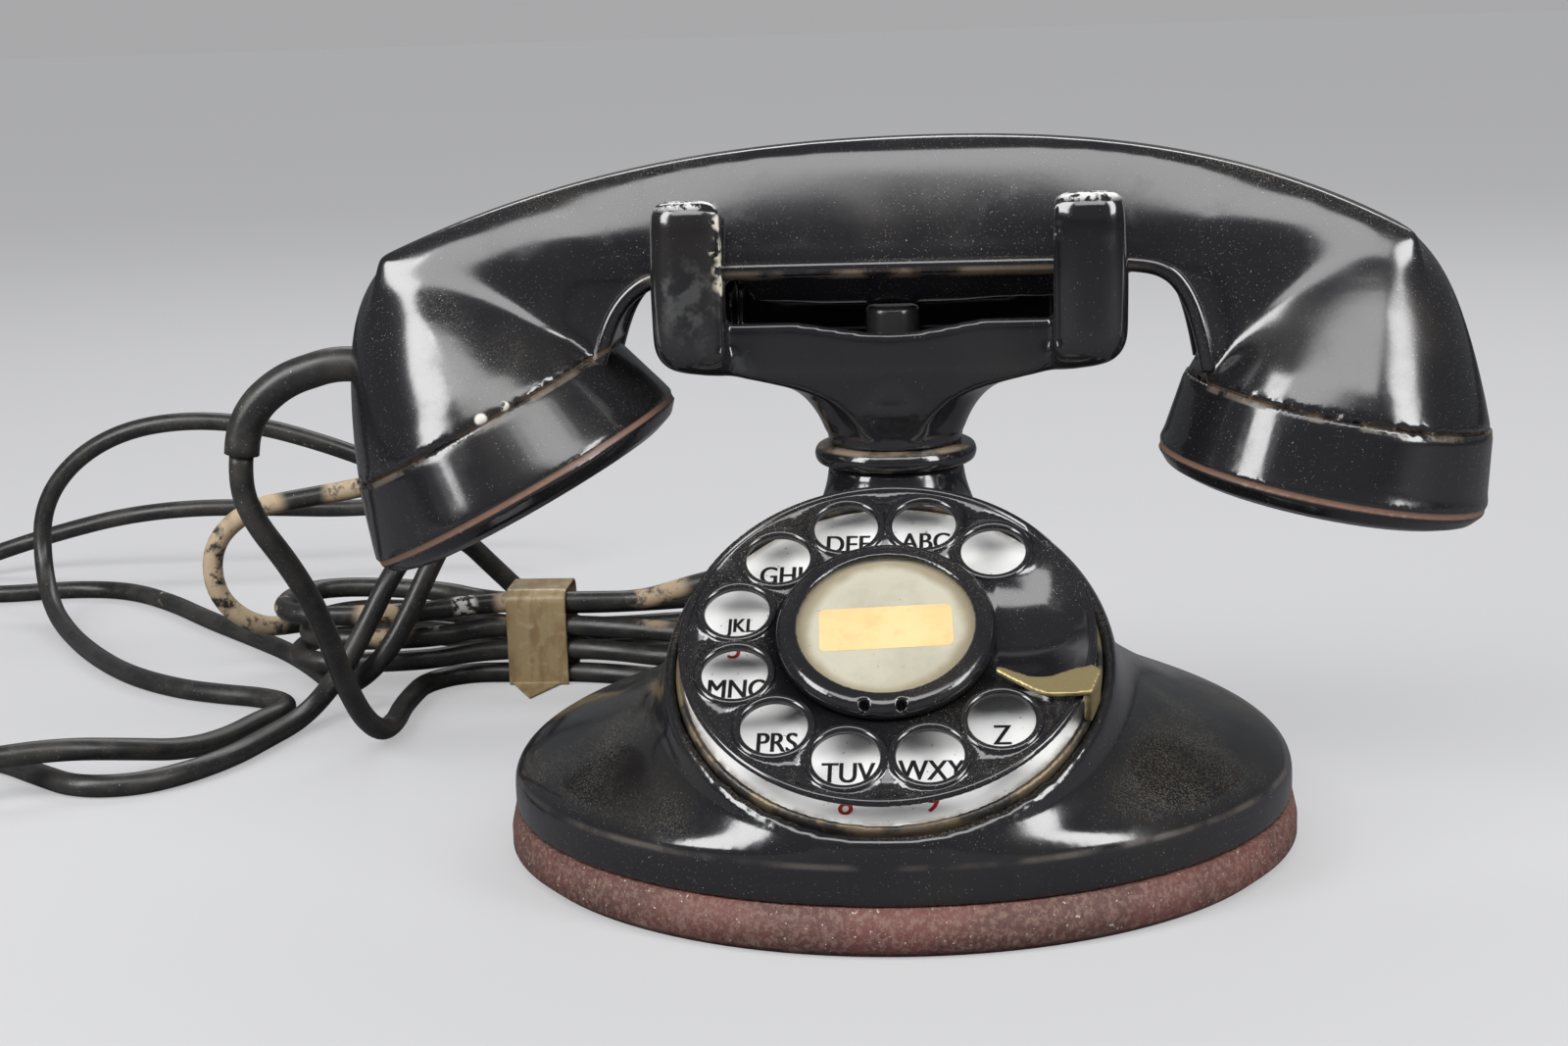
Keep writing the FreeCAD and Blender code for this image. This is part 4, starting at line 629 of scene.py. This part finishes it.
def tube_piece(name, line, radius, around=20):
    """Round section carried along a line: point = line + radius times (cosine of t times side + sine of
    t times the other side). The ends are closed by one face each."""
    side, other = line_frames(line)
    t = np.linspace(0, 2 * np.pi, around, endpoint=False)
    c, s = np.cos(t)[None, :, None], np.sin(t)[None, :, None]
    points = line[:, None] + radius * (c * side[:, None] + s * other[:, None])
    faces = grid_faces(len(line), around, close_columns=True)
    last = (len(line) - 1) * around
    faces += [list(range(around)), list(range(last, last + around))[::-1]]
    piece = put_mesh(name, points.reshape(-1, 3) * MM, faces)
    set_grid_uv(piece, np.repeat(along_line(line), around) * MM, np.tile(t / (2 * np.pi), len(line)))
    outward(piece)
    return piece


print("cord helpers ready")

# %% Rubber, and both cords
WORN_SPOTS = [((-166, 119, 43), 9), ((-178, 119, 34), 12), ((-177, 119, 22), 10), ((-170, 123, 13), 10),
              ((-144, 127, 46), 8), ((-100, 113, 21), 7), ((-64, 106, 24), 10), ((-130, 101, 20), 9)]
PAINT_BLOBS = [((-112, 108, 21), 4), ((-119, 104, 15), 3.5)]


def worn_rubber():
    """Black rubber gone grey and dusty, with tan patches where the skin has peeled, fine crazing
    across the cord, and a few blobs of white paint."""
    finish = Finish("cord_rubber", (0.017, 0.017, 0.017), 0.33, specular=0.45)
    finish.lay((90, 0.42, 0.70), (0.036, 0.034, 0.031), 0.42)
    finish.lay((420, 0.45, 0.75, 4, 0.7), (0.060, 0.055, 0.048), 0.55, 0.45)
    peeled = finish.patches(48, 0.66, 0.70, 5, 0.65, shift=(0.11, 0.02, 0.07))
    finish.lay(peeled, (0.36, 0.27, 0.17), 0.75, 0.9)
    finish.spots(WORN_SPOTS, (230, 0.36, 0.52, 4, 0.7), (0.46, 0.35, 0.23), 0.78, 0.95)
    finish.spots(PAINT_BLOBS, (600, 0.42, 0.50, 3), (0.72, 0.70, 0.66), 0.6)
    finish.specks(2600, 0.11, PALE_DUST, strength=0.5)
    finish.bump(finish.noise(500, 4, 0.6), 0.16, 0.00015)
    finish.bump(finish.noise(120, 2), 0.15, 0.0004)
    return finish


rubber = worn_rubber()

handset_line = cord_line("handset_route", handset_route[::-1])
handset_cord = tube_piece("handset_cord_skin", handset_line, CORD_D / 2)
dress(handset_cord, rubber)
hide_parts("handset_cord", "cord_hank")
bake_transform(handset_cord)

line_line = cord_line("line_route", line_route)
line_cord = tube_piece("line_cord_skin", line_line, CORD_D / 2)
dress(line_cord, rubber)
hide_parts("line_cord")
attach(line_cord, "base")

# %% [markdown]
# ## Foot
# The foot is one casting in stoved black paint: an oval skirt, a crown that rises to the dial's rim,
# and a flared neck. Under it lies a steel plate, and a band of maroon leather cloth is drawn over its
# edge. The casting is a moulded copy; the band keeps its CAD form with smooth shading.

# %% Foot casting and leather band
foot = moulded_copy("base_shell", "foot_casting", grain=0.95, passes=8)
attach(foot, "base")
foot_finish = black_moulding("foot_paint", 0.12, 0.45)
crease = foot_finish.level_band(16.6, -0.5, 0.5, 0.4)
foot_finish.lay(crease, (0.10, 0.085, 0.07), 0.5, 0.6, (60, 0.4, 0.6, 3))
dress(foot, foot_finish)

band = smooth_copy("bottom_cover", "leather_band", sharp_angle=50)
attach(band, "base")
leather = Finish("maroon_leather", (0.088, 0.040, 0.034), 0.62, specular=0.35)
leather.lay(leather.patches(45, 0.45, 0.62, shift=(0.2, 0, 0)), (0.125, 0.046, 0.040), 0.60)
leather.lay((900, 0.44, 0.62, 4, 0.7), (0.200, 0.125, 0.100), 0.75, 0.7)
leather.lay((2100, 0.60, 0.72, 2), (0.022, 0.011, 0.010), 0.7, 0.6)
scuffed = leather.maths("ADD", leather.level_band(0, -1, 3.2, 1.2), 0.25)
leather.lay(scuffed, (0.24, 0.17, 0.135), 0.75, 0.6, (230, 0.55, 0.66, 5, 0.7))
leather.specks(1500, 0.12, PALE_DUST, strength=0.6)
leather.bump(leather.noise(1500, 3), 0.45, 0.00015)
leather.bump(leather.noise(260, 3), 0.25, 0.0002)
dress(band, leather)
tell(foot, band)

# %% [markdown]
# ## Neck, cradle and plunger
# A rolled collar hides the joint between the neck and the cradle. The cradle is a casting whose yoke
# opens from a round stub into a trough with two pairs of prongs, so that the handset can only lie one
# way. The prongs' tops are the first thing that the handset meets, so the paint there is chipped to
# bright metal.

# %% Collar and cradle
collar = moulded_copy("neck_collar", "collar", grain=0.45, passes=4)
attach(collar, "base")
collar_finish = black_moulding("collar_paint", 0.12, 0.3)
for level in (73.9, 77.9):
    dirt = collar_finish.level_band(level, -0.7, 0.5, 0.3)
    collar_finish.lay(dirt, (0.25, 0.19, 0.13), 0.7, 0.7, (150, 0.38, 0.6))
dress(collar, collar_finish)

cradle = moulded_copy("cradle", "cradle_casting", grain=0.6, passes=9)
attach(cradle, "base")
# The trough's rear wall stands a little higher than its front wall, and its corners higher still
AXIS_Y = 10.8
PRONG_X, PRONG_HALF, PRONG_FALL, PRONG_SIDE = 38.8, 7.2, 0.13, (32, 34)
WALL_RISE, CORNER_RISE = 1.3, 3.4
points = mesh_points(cradle)
far = np.abs(points[:, 0])
behind = ramp(points[:, 1], AXIS_Y + 10.5, AXIS_Y + 13)
rear = behind * (1 - ramp(far, 31, 33.5))
corner = behind * ramp(far, 22, 30) * (1 - ramp(far, *PRONG_SIDE))
rise = WALL_RISE * rear + CORNER_RISE * corner
points[:, 2] += rise * ramp(points[:, 2], 99, 103.5) * (1 - ramp(points[:, 2], 107, 110))
# A prong is a rounded bar: its faces fall away from its middle by a share of u squared, where u is 1
# at its sides
u = np.clip((far - PRONG_X) / PRONG_HALF, -1, 1)
fall = PRONG_FALL * u * u * ramp(far, 31.6, 32.4)
points[:, 1] = AXIS_Y + (points[:, 1] - AXIS_Y) * (1 - fall)
move_points(cradle, points)
yoke_ends = ramp(far, 28, 31) * (1 - ramp(points[:, 2], 97, 100))
soften_where(cradle, np.maximum(ramp(far, *PRONG_SIDE), yoke_ends), 60)
tell(collar, cradle)

# %% Cradle finish and plunger
PRONG_TOP = 128.3
cradle_finish = black_moulding("cradle_paint", 0.11, 0.2, -0.02)
worn_grey = cradle_finish.patches(75, 0.50, 0.58, 4, 0.65, shift=(0.4, 0, 0))
face_patch, yoke_patch = (cradle_finish.near(middle, radius, 0.7)
                          for middle, radius in (((-38, -10, 109), 12), ((-33, -6, 96), 8)))
rubbed_places = cradle_finish.maths("ADD", face_patch, yoke_patch, clamp=True)
cradle_finish.lay(cradle_finish.times(worn_grey, rubbed_places), (0.055, 0.057, 0.055), 0.36, 0.7)
top = cradle_finish.level_band(PRONG_TOP, -1.5, 3, 0.7)
cradle_finish.lay(top, (0.60, 0.60, 0.58), 0.35, 0.95, (330, 0.46, 0.52, 4, 0.7))
PRONG_CHIPS = [((-31.4, -9, 119), 3.0), ((-31.4, -10, 115), 2.4), ((-31.5, -10, 112), 2.2),
               ((-31.5, -9, 124), 2.0)]
cradle_finish.spots(PRONG_CHIPS, (500, 0.46, 0.52, 3), (0.55, 0.51, 0.42), 0.6, 0.95)
dress(cradle, cradle_finish)

plunger = moulded_copy("hook_plunger", "plunger", grain=0.4, passes=4)
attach(plunger, "plunger")
plunger_finish = Finish("plunger_steel", (0.06, 0.06, 0.062), 0.22, metallic=0.6)
plunger_finish.lay((160, 0.45, 0.7), (0.03, 0.028, 0.026), 0.4)
dress(plunger, plunger_finish)
tell(plunger)

# %% [markdown]
# ## Handset
# The handset is one heavy moulding: a blade with a spine, a keel under the grip, and two bells whose
# mouths are closed by screwed caps. Handling has rubbed a brown line into every edge that fingers
# touch. Each cap has its own axis, so its worn line is the band between two planes square to that axis.

# %% Handset helpers
MOUTH, EAR = (-82.6, 84.9), (87.4, 84.7)
MOUTH_TILT, EAR_TILT = math.radians(27.6), math.radians(-11.6)
CUPS = ((MOUTH, MOUTH_TILT), (EAR, EAR_TILT))
CUP_REACH, RING_REACH, OUT_OF_REACH = 40, 46, 1e3


def cup_direction(tilt):
    """Unit vector up the axis of a cup that leans by the tilt towards -X."""
    return (-math.sin(tilt), 0.0, math.cos(tilt))


def worn_ring(finish, seam, tilt, low, high, colour, strength, level=0.42):
    """Band of wear between two heights along a cup's axis, broken up by noise."""
    middle = (seam[0], AXIS_Y, seam[1])
    ring = finish.plane_band(middle, cup_direction(tilt), low, high, 0.25)
    ring = finish.times(ring, finish.near(middle, RING_REACH, 0.1))
    finish.lay(ring, colour, 0.55, strength, (130, level, level + 0.16, 4, 0.65))


handle = moulded_copy("handset_handle", "handle", grain=0.9, passes=7)
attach(handle, "handset")


def above_seams(points):
    """Height of each point above the seam plane of the cup on its own side: the other cup's height is
    put out of reach before the lower of both is taken."""
    heights = [(points - [seam[0], AXIS_Y, seam[1]]) @ np.array(cup_direction(tilt))
               + OUT_OF_REACH * (points[:, 0] * seam[0] < 0) for seam, tilt in CUPS]
    return np.minimum(*heights)


def soften_across(piece, weights, passes):
    """Evens out the thickness of a piece and leaves its outline from the front: each pass moves a
    point's y, and nothing else, by half its weight towards the mean y of its neighbours."""
    points = mesh_points(piece)
    a, b = read_values(piece.data.edges, "vertices", 2, np.int32).T
    a, b = np.concatenate([a, b]), np.concatenate([b, a])
    neighbours = np.maximum(np.bincount(a, minlength=len(points)), 1)
    for _ in range(passes):
        mean = np.bincount(a, points[b, 1], minlength=len(points)) / neighbours
        points[:, 1] += 0.5 * weights * (mean - points[:, 1])
    move_points(piece, points)


def flatten_seam(piece, seam, tilt, level=0.0, reach=0.75):
    """Lays every point that is nearer than the reach to a cup's seam plane exactly on it."""
    points = mesh_points(piece)
    axis = np.array(cup_direction(tilt))
    from_seam = points - [seam[0], AXIS_Y, seam[1]]
    height = from_seam @ axis
    near = (np.abs(height - level) < reach) & (np.linalg.norm(from_seam, axis=1) < CUP_REACH)
    points[near] -= np.outer(height[near] - level, axis)
    move_points(piece, points)


print("handle net with", len(handle.data.vertices), "points")

# %% Handle's form
# The blade's sides bow in towards its spine: half thickness times 1 less a share of t to a power, where
# t runs from the middle of the side to the spine
SIDE_Z, BOW, BOW_POWER = 119, 0.36, 1.6
SPINE_X = (-101, -75, -50, -25, 3.5, 30, 55, 80, 101)
SPINE_Z = (117.9, 127.0, 133.6, 137.2, 138.5, 137.7, 134.6, 127.6, 117.9)
points = mesh_points(handle)
far = np.abs(points[:, 0])
spine_z = np.interp(points[:, 0], SPINE_X, SPINE_Z)
t = np.clip((points[:, 2] - SIDE_Z) / np.maximum(spine_z - SIDE_Z, 4), 0, 1)
bow = BOW * t ** BOW_POWER * (1 - ramp(far, 70, 92))
points[:, 1] = AXIS_Y + (points[:, 1] - AXIS_Y) * (1 - bow)
move_points(handle, points)

# The bells flow into the blade, and the blade's spine is well rounded
junction = ramp(far, 60, 66) * ramp(above_seams(points), 5, 9) * (1 - 0.75 * ramp(far, 97, 101))
spine = ramp(points[:, 2], 121, 126)
soften_where(handle, np.clip(np.maximum(junction, spine), 0, 1), 45)
points = mesh_points(handle)
far = np.abs(points[:, 0])
bells = ramp(far, 60, 70) * ramp(above_seams(points), 6, 14) * (1 - 0.4 * ramp(far, 98, 103))
soften_across(handle, bells, 170)
for seam, tilt in CUPS:
    flatten_seam(handle, seam, tilt)

# The keel stays low until it has passed the prongs, then sweeps up to the lip
KEEL_DROP = 1.5
points = mesh_points(handle)
far = np.abs(points[:, 0])
under = (1 - ramp(points[:, 2], 109.5, 112.6)) * (np.abs(points[:, 1] - AXIS_Y) < 13) * (far < 50)
points[:, 2] -= KEEL_DROP * under * ramp(far, 20, 36) * (1 - ramp(far, 40, 49))
move_points(handle, points)
tell(handle)

# %% Lip, handle finish, caps and sleeve
BEAD_R, BEAD_OUT = 1.75, 11.5


def lip_bead(name, side_y):
    """Rounded bead along the lower edge of the blade, from one bell to the other."""
    bend = [(-58.4, 93.5), (-56.8, 100.0), (-53.2, 107.9), (-47, 112.7), (-39, 114.0),
            (-30, 114.1), (0, 114.1), (32, 114.1), (48, 113.9), (54.2, 112.1), (58.0, 107.0),
            (60.5, 99.0), (61.6, 92.5)]
    route = [(x, side_y, z) for x, z in bend]
    return tube_piece(name, cord_line(name, route, spacing=0.7), BEAD_R, around=16)


beads = [lip_bead("lip_front", AXIS_Y - BEAD_OUT), lip_bead("lip_back", AXIS_Y + BEAD_OUT)]
for bead in beads:
    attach(bead, "handset")
handle_finish = black_moulding("handle_moulding", 0.14, 0.4, 0.02)
for seam, tilt in CUPS:
    worn_ring(handle_finish, seam, tilt, -0.5, 0.3, BROWN_WEAR, 0.7, level=0.34)
lip = handle_finish.level_band(113.0, -0.9, 0.7, 0.5)
middle = handle_finish.near((0, -2, 113), 52, 0.3)
handle_finish.lay(handle_finish.times(lip, middle), RUBBED, 0.5, 0.6, (90, 0.40, 0.6))
SEAM_CHIPS = [((-78.1, -18.3, 88.4), 1.5), ((-73.7, -16.8, 90.7), 1.2)]
handle_finish.spots(SEAM_CHIPS, (420, 0.44, 0.50, 3), (0.62, 0.60, 0.54), 0.6)
dress([handle, *beads], handle_finish)

CAPS = (("mouthpiece_cap", "mouth_cap"), ("earpiece_cap", "ear_cap"))
for (node, name), (seam, tilt) in zip(CAPS, CUPS):
    cap = moulded_copy(node, name, grain=0.5, passes=5)
    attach(cap, "handset")
    flatten_seam(cap, seam, tilt, level=-0.05, reach=0.5)
    cap_finish = black_moulding(name + "_moulding", 0.14, 0.3)
    worn_ring(cap_finish, seam, tilt, -15.7, -14.6, (0.22, 0.12, 0.08), 0.85, level=0.22)
    worn_ring(cap_finish, seam, tilt, -1.1, 0.4, (0.12, 0.09, 0.065), 0.7)
    dress(cap, cap_finish)
    tell(cap)

sleeve = smooth_copy("cord_sleeve", "sleeve", sharp_angle=60)
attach(sleeve, "handset")
dress(sleeve, rubber)
tell(sleeve)

# %% [markdown]
# ## Dial
# The dial's face slopes by 34.9 degrees, so its pieces are worked out flat, with x to the right and y
# up the slope, and a matrix then lays them on the slope. From below upwards there are a worn brass rim,
# a white enamel plate with fired letters and red numbers, the black finger wheel, and the holder of the
# number card under its window.

# %% Dial's flat frame, and words
DIAL_TILT = math.radians(34.9)
DIAL_MIDDLE = (0.0, -41.5, 50.6)
DIAL_OUT = (0.0, -math.sin(DIAL_TILT), math.cos(DIAL_TILT))
ON_DIAL = Matrix.Translation([m * MM for m in DIAL_MIDDLE]) @ Matrix.Rotation(DIAL_TILT, 4, "X")
HOLE_RING, FIRST_HOLE, HOLE_STEP = 28.7, 47, 30
PLATE_TOP, PLATE_R = -6.4, 38.2
PRINT_RISE, STRIP_RISE = 0.05, 0.06


def on_dial(piece):
    """Brings a piece from the dial's flat frame to its place, in the mesh itself."""
    piece.data.transform(ON_DIAL)
    piece.data.update()
    return piece


def above_dial(level):
    """Point on the dial's axis at a level in millimetres from the wheel's face."""
    return [m + level * o for m, o in zip(DIAL_MIDDLE, DIAL_OUT)]


def keep_level(piece, direction):
    """Shades the faces that look along a direction as true planes, and the rest smoothly."""
    normals = read_values(piece.data.polygons, "normal", 3)
    if "custom_normal" in piece.data.attributes:
        piece.data.attributes.remove(piece.data.attributes["custom_normal"])
    piece.data.polygons.foreach_set("use_smooth", normals @ np.array(direction) < 0.999)


def hole_middle(index):
    """Centre of a finger hole: each stands one step further round from the right than the last."""
    turn = math.radians(FIRST_HOLE + HOLE_STEP * index)
    return HOLE_RING * math.cos(turn), HOLE_RING * math.sin(turn)


def flat_text(text, middle, tall, wide, level):
    """Points and faces of a word in millimetres: its outline is made a mesh, scaled so that its
    capitals have the given height, made narrower by a share, and centred on a point."""
    curve = bpy.data.curves.new("word", "FONT")
    curve.body, curve.size = text, 1.0
    points, faces = curve_mesh(curve)
    low, high = points.min(0), points.max(0)
    points = (points - (low + high) / 2) * tall / (high[1] - low[1])
    points[:, 0] *= wide
    return points + [*middle, level + PRINT_RISE], faces


def words_piece(name, words, level):
    """One piece from several words, each given as (text, middle, height, width share). A word that is
    laid down again a little to the side has thicker strokes."""
    points, faces, count = [], [], 0
    for text, middle, tall, wide in words:
        some, loops = flat_text(text, middle, tall, wide, level)
        points.append(some)
        faces += [[v + count for v in loop] for loop in loops]
        count += len(some)
    return on_dial(put_mesh(name, np.concatenate(points) * MM, faces, smooth=False))


print("first finger hole at", [round(v, 2) for v in hole_middle(0)])

# %% Dial plate, lettering and rim
PLATE_SEAT, PLATE_BORE, DIRT_WIDE = -7.2, 4, 1.6
section = [(PLATE_BORE, PLATE_SEAT), (PLATE_R, PLATE_SEAT),
           (PLATE_R, PLATE_TOP), (PLATE_BORE, PLATE_TOP)]
plate = turned_piece("enamel_plate", eased(section, 0.3), around=160)
keep_level(plate, (0, 0, 1))
on_dial(plate)
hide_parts("number_plate")
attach(plate, "base")
enamel = Finish("white_enamel", (0.86, 0.86, 0.85), 0.38, specular=0.3)
enamel.lay((60, 0.45, 0.75), (0.74, 0.73, 0.70), 0.42, 0.7)
from_middle = enamel.distance(above_dial(PLATE_TOP))
rim_dirt = enamel.between(from_middle, (PLATE_R - DIRT_WIDE) * MM, PLATE_R * MM)
enamel.lay(rim_dirt, (0.30, 0.26, 0.20), 0.6, 0.8, (240, 0.35, 0.6))
enamel.specks(900, 0.10, (0.35, 0.31, 0.26), strength=0.7)
dress(plate, enamel)

LABELS = ["", "ABC", "DEF", "GHI", "JKL", "MNO", "PRS", "TUV", "WXY", "Z"]
LETTER_STROKES, DIGIT_STROKES = (-0.13, 0.0, 0.13), (-0.1, 0.1)
LETTER_SIZE, DIGIT_SIZE = (4.4, 0.78), (4.6, 0.85)
LETTER_RISE, DIGIT_DROP, DIGIT_OUT = 1.6, 4.0, (1.03, 1.05)
letter_words, digit_words = [], []
for index, label in enumerate(LABELS):
    x, y = hole_middle(index)
    digit = str((index + 1) % len(LABELS))
    if label:
        letter_words += [(label, (x + stroke, y + LETTER_RISE), *LETTER_SIZE)
                         for stroke in LETTER_STROKES]
    x, y = DIGIT_OUT[0] * x, DIGIT_OUT[1] * y - DIGIT_DROP
    digit_words += [(digit, (x + stroke, y), *DIGIT_SIZE) for stroke in DIGIT_STROKES]
letters = words_piece("plate_letters", letter_words, PLATE_TOP)
digits = words_piece("plate_numbers", digit_words, PLATE_TOP)
dress(letters, Finish("letter_black", (0.03, 0.03, 0.032), 0.35))
dress(digits, Finish("number_red", (0.50, 0.035, 0.03), 0.35))
for piece in (letters, digits):
    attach(piece, "base")

rim = moulded_copy("dial_bezel", "worn_rim", grain=0.45, passes=3)
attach(rim, "base")
rim_finish = Finish("worn_brass", (0.05, 0.045, 0.04), 0.35, metallic=0.5)
rim_finish.lay((110, 0.45, 0.56), (0.24, 0.18, 0.11), 0.45, 0.7)
rim_finish.lay((420, 0.52, 0.66), (0.12, 0.095, 0.07), 0.7, 0.7)
dress(rim, rim_finish)
print("plate, rim,", len(letter_words) // len(LETTER_STROKES), "labels and",
      len(digit_words) // len(DIGIT_STROKES), "numbers")

# %% [markdown]
# The finger wheel is a steel pressing in black enamel with rolled rims; its gloss is broken by a little
# dust. The card is grey board gone brown at its edge, with a strip of yellow paper pasted across it,
# and lies under a window of old clear celluloid.

# %% Finger wheel and card holder
wheel = smooth_copy("finger_wheel", "finger_wheel_skin", sharp_angle=50)
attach(wheel, "dial_wheel")
dress(wheel, black_moulding("wheel_enamel", 0.13, 0.15, 0.02))

holder = moulded_copy("card_ring", "card_holder", grain=0.4, passes=4)
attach(holder, "dial_wheel")
dress(holder, black_moulding("holder_enamel", 0.13, 0.2))

tell(wheel, holder)

# %% Card, strip, window and finger stop
CARD_LEVEL, WINDOW_GAP, BROWN_FROM, BROWN_TO = 2.6, 0.2, 15.2, 17.4
card = smooth_copy("number_card", "card_face", sharp_angle=8)
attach(card, "dial_wheel")
keep_level(card, DIAL_OUT)
board = Finish("card_board", (0.44, 0.42, 0.34), 0.55, specular=0.3)
board.lay((60, 0.42, 0.66, 5, 0.6), (0.36, 0.34, 0.27), 0.6)
ragged = board.times(board.noise(90, 4), 0.004)
wobble = board.maths("ADD", board.distance(above_dial(CARD_LEVEL)), ragged)
brown_edge = board.between(wobble, BROWN_FROM * MM, BROWN_TO * MM)
board.lay(brown_edge, (0.20, 0.15, 0.08), 0.7, 0.85)
board.specks(1300, 0.10, (0.12, 0.10, 0.08), strength=0.6)
dress(card, board)


STRIP_HALF_X, STRIP_HALF_Y, STRIP_TURN = 12.2, 5.0, math.radians(3.2)


def strip_piece():
    """Pasted strip with rounded corners, a little askew, on the card."""
    signs = [(-1, -1), (1, -1), (1, 1), (-1, 1)]
    x, y = eased([(sx * STRIP_HALF_X, sy * STRIP_HALF_Y) for sx, sy in signs], 1.4, 6).T
    c, s = math.cos(STRIP_TURN), math.sin(STRIP_TURN)
    flat = np.stack([x * c - y * s, x * s + y * c, np.full(len(x), CARD_LEVEL + STRIP_RISE)], axis=1)
    return on_dial(put_mesh("card_strip", flat * MM, [list(range(len(flat)))], smooth=False))


strip = strip_piece()
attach(strip, "dial_wheel")
paper = Finish("strip_paper", (0.82, 0.56, 0.26), 0.6, specular=0.3)
paper.lay((70, 0.40, 0.66, 5, 0.6), (0.76, 0.48, 0.19), 0.65)
paper.lay((420, 0.55, 0.68), (0.66, 0.43, 0.18), 0.7, 0.5)
dress(strip, paper)

window = smooth_copy("card_window", "celluloid_window", sharp_angle=8)
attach(window, "dial_wheel")
keep_level(window, DIAL_OUT)
# The window's underside stays clear of the card
points = mesh_points(window)
level = (points - DIAL_MIDDLE) @ np.array(DIAL_OUT)
points += np.outer(np.where(level < CARD_LEVEL + WINDOW_GAP, WINDOW_GAP, 0.0), DIAL_OUT)
move_points(window, points)
celluloid = Finish("celluloid", (0.70, 0.66, 0.52), 0.30, specular=0.15)
celluloid.shader.inputs["Alpha"].default_value = 0.08
celluloid.lay((300, 0.55, 0.75), roughness=0.4, strength=0.6)
dress(window, celluloid)

stop = moulded_copy("finger_stop", "stop_blade", grain=0.3, passes=4)
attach(stop, "base")
brass = Finish("pale_brass", (0.42, 0.34, 0.17), 0.30, metallic=0.7)
brass.lay((140, 0.44, 0.66), (0.34, 0.26, 0.12), 0.42, 0.8)
brass.lay((500, 0.56, 0.68), (0.20, 0.15, 0.09), 0.6, 0.55)
dress(stop, brass)
tell(window, stop)

# %% [markdown]
# ## Tape and terminals
# Old transparent tape binds the hank: yellow-brown, brittle and shiny where it still lies flat. It is
# a thin skin drawn round the waist, so the cords show through it a little. The line cord ends in a
# ferrule and three spade tongues, where the wall box once was.

# %% Tape round the hank, and the terminals
tape = moulded_copy("hank_tape", "tape_band", grain=0.22, passes=3)
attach(tape, "base")
tape_finish = Finish("old_tape", (0.40, 0.30, 0.16), 0.30, specular=0.5)
streaks = tape_finish.patches(150, 0.42, 0.66, stretch=(3, 1, 1))
tape_finish.lay(streaks, (0.30, 0.20, 0.10), 0.36)
tape_finish.lay((420, 0.55, 0.70), (0.52, 0.42, 0.27), 0.45, 0.6)
tape_finish.shader.inputs["Transmission Weight"].default_value = 0.25
tape_finish.bump(tape_finish.noise(260, 4), 0.6, 0.0005)
dress(tape, tape_finish)

ends = smooth_copy("cord_terminals", "spade_ends", sharp_angle=40)
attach(ends, "base")
tinned = Finish("tinned_copper", (0.50, 0.44, 0.36), 0.34, metallic=0.85)
tinned.lay((500, 0.45, 0.65), (0.28, 0.22, 0.17), 0.55)
dress(ends, tinned)

for node, name in (("handset_cord_bush", "left_bush"), ("line_cord_bush", "right_bush")):
    bush = smooth_copy(node, name, sharp_angle=40)
    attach(bush, "base")
    dress(bush, rubber)
tell(tape, ends)

# %% [markdown]
# ## Works inside
# The dial's gears, the hook switch and the capsules are seen only when a piece is taken away, so they
# keep their CAD solids. Each gets the finish of its trade: brass for gears and bearings, blued steel
# for springs, bare steel for plates, brown fibre for the insulation, and aluminium for the capsules.

# %% Finishes of the works
def plain_metal(name, colour, roughness):
    """Metal of the works with darker, duller patches."""
    finish = Finish(name, colour, roughness, metallic=0.9)
    darker = tuple(0.55 * c for c in colour)
    finish.lay((220, 0.45, 0.68), darker, roughness + 0.14)
    finish.bump(finish.noise(900, 2), 0.08, 0.0001)
    return finish


gear_brass = plain_metal("gear_brass", (0.58, 0.43, 0.20), 0.30)
steel = plain_metal("bright_steel", (0.42, 0.42, 0.41), 0.32)
blued = plain_metal("spring_steel", (0.12, 0.13, 0.17), 0.28)
alloy = plain_metal("capsule_alloy", (0.55, 0.55, 0.54), 0.42)
fibre = Finish("brown_fibre", (0.13, 0.06, 0.03), 0.6)
fibre.lay((260, 0.45, 0.65), (0.18, 0.09, 0.05), 0.7)
WORKS = {
    gear_brass: ["drive_gear", "pulse_gear", "gear_bridge", "governor_cup", "governor_bearing",
                 "governor_weights", "plunger_bush", "transmitter_contacts"],
    steel: ["dial_case", "dial_shaft", "bottom_plate", "bottom_screws", "lever_pivot", "switch_bracket",
            "hook_lever", "terminal_screws", "governor_worm"],
    blued: ["mainspring", "pulse_springs", "switch_springs"],
    alloy: ["transmitter_capsule", "receiver_capsule"],
    fibre: ["terminal_strip", "switch_insulators"],
}
for finish, nodes in WORKS.items():
    dress([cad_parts[node] for node in nodes], finish)
left_plain = [name for name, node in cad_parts.items()
              if not node.hide_render and not node.data.materials]
print("works dressed:", sum(len(nodes) for nodes in WORKS.values()), "left plain:", left_plain)
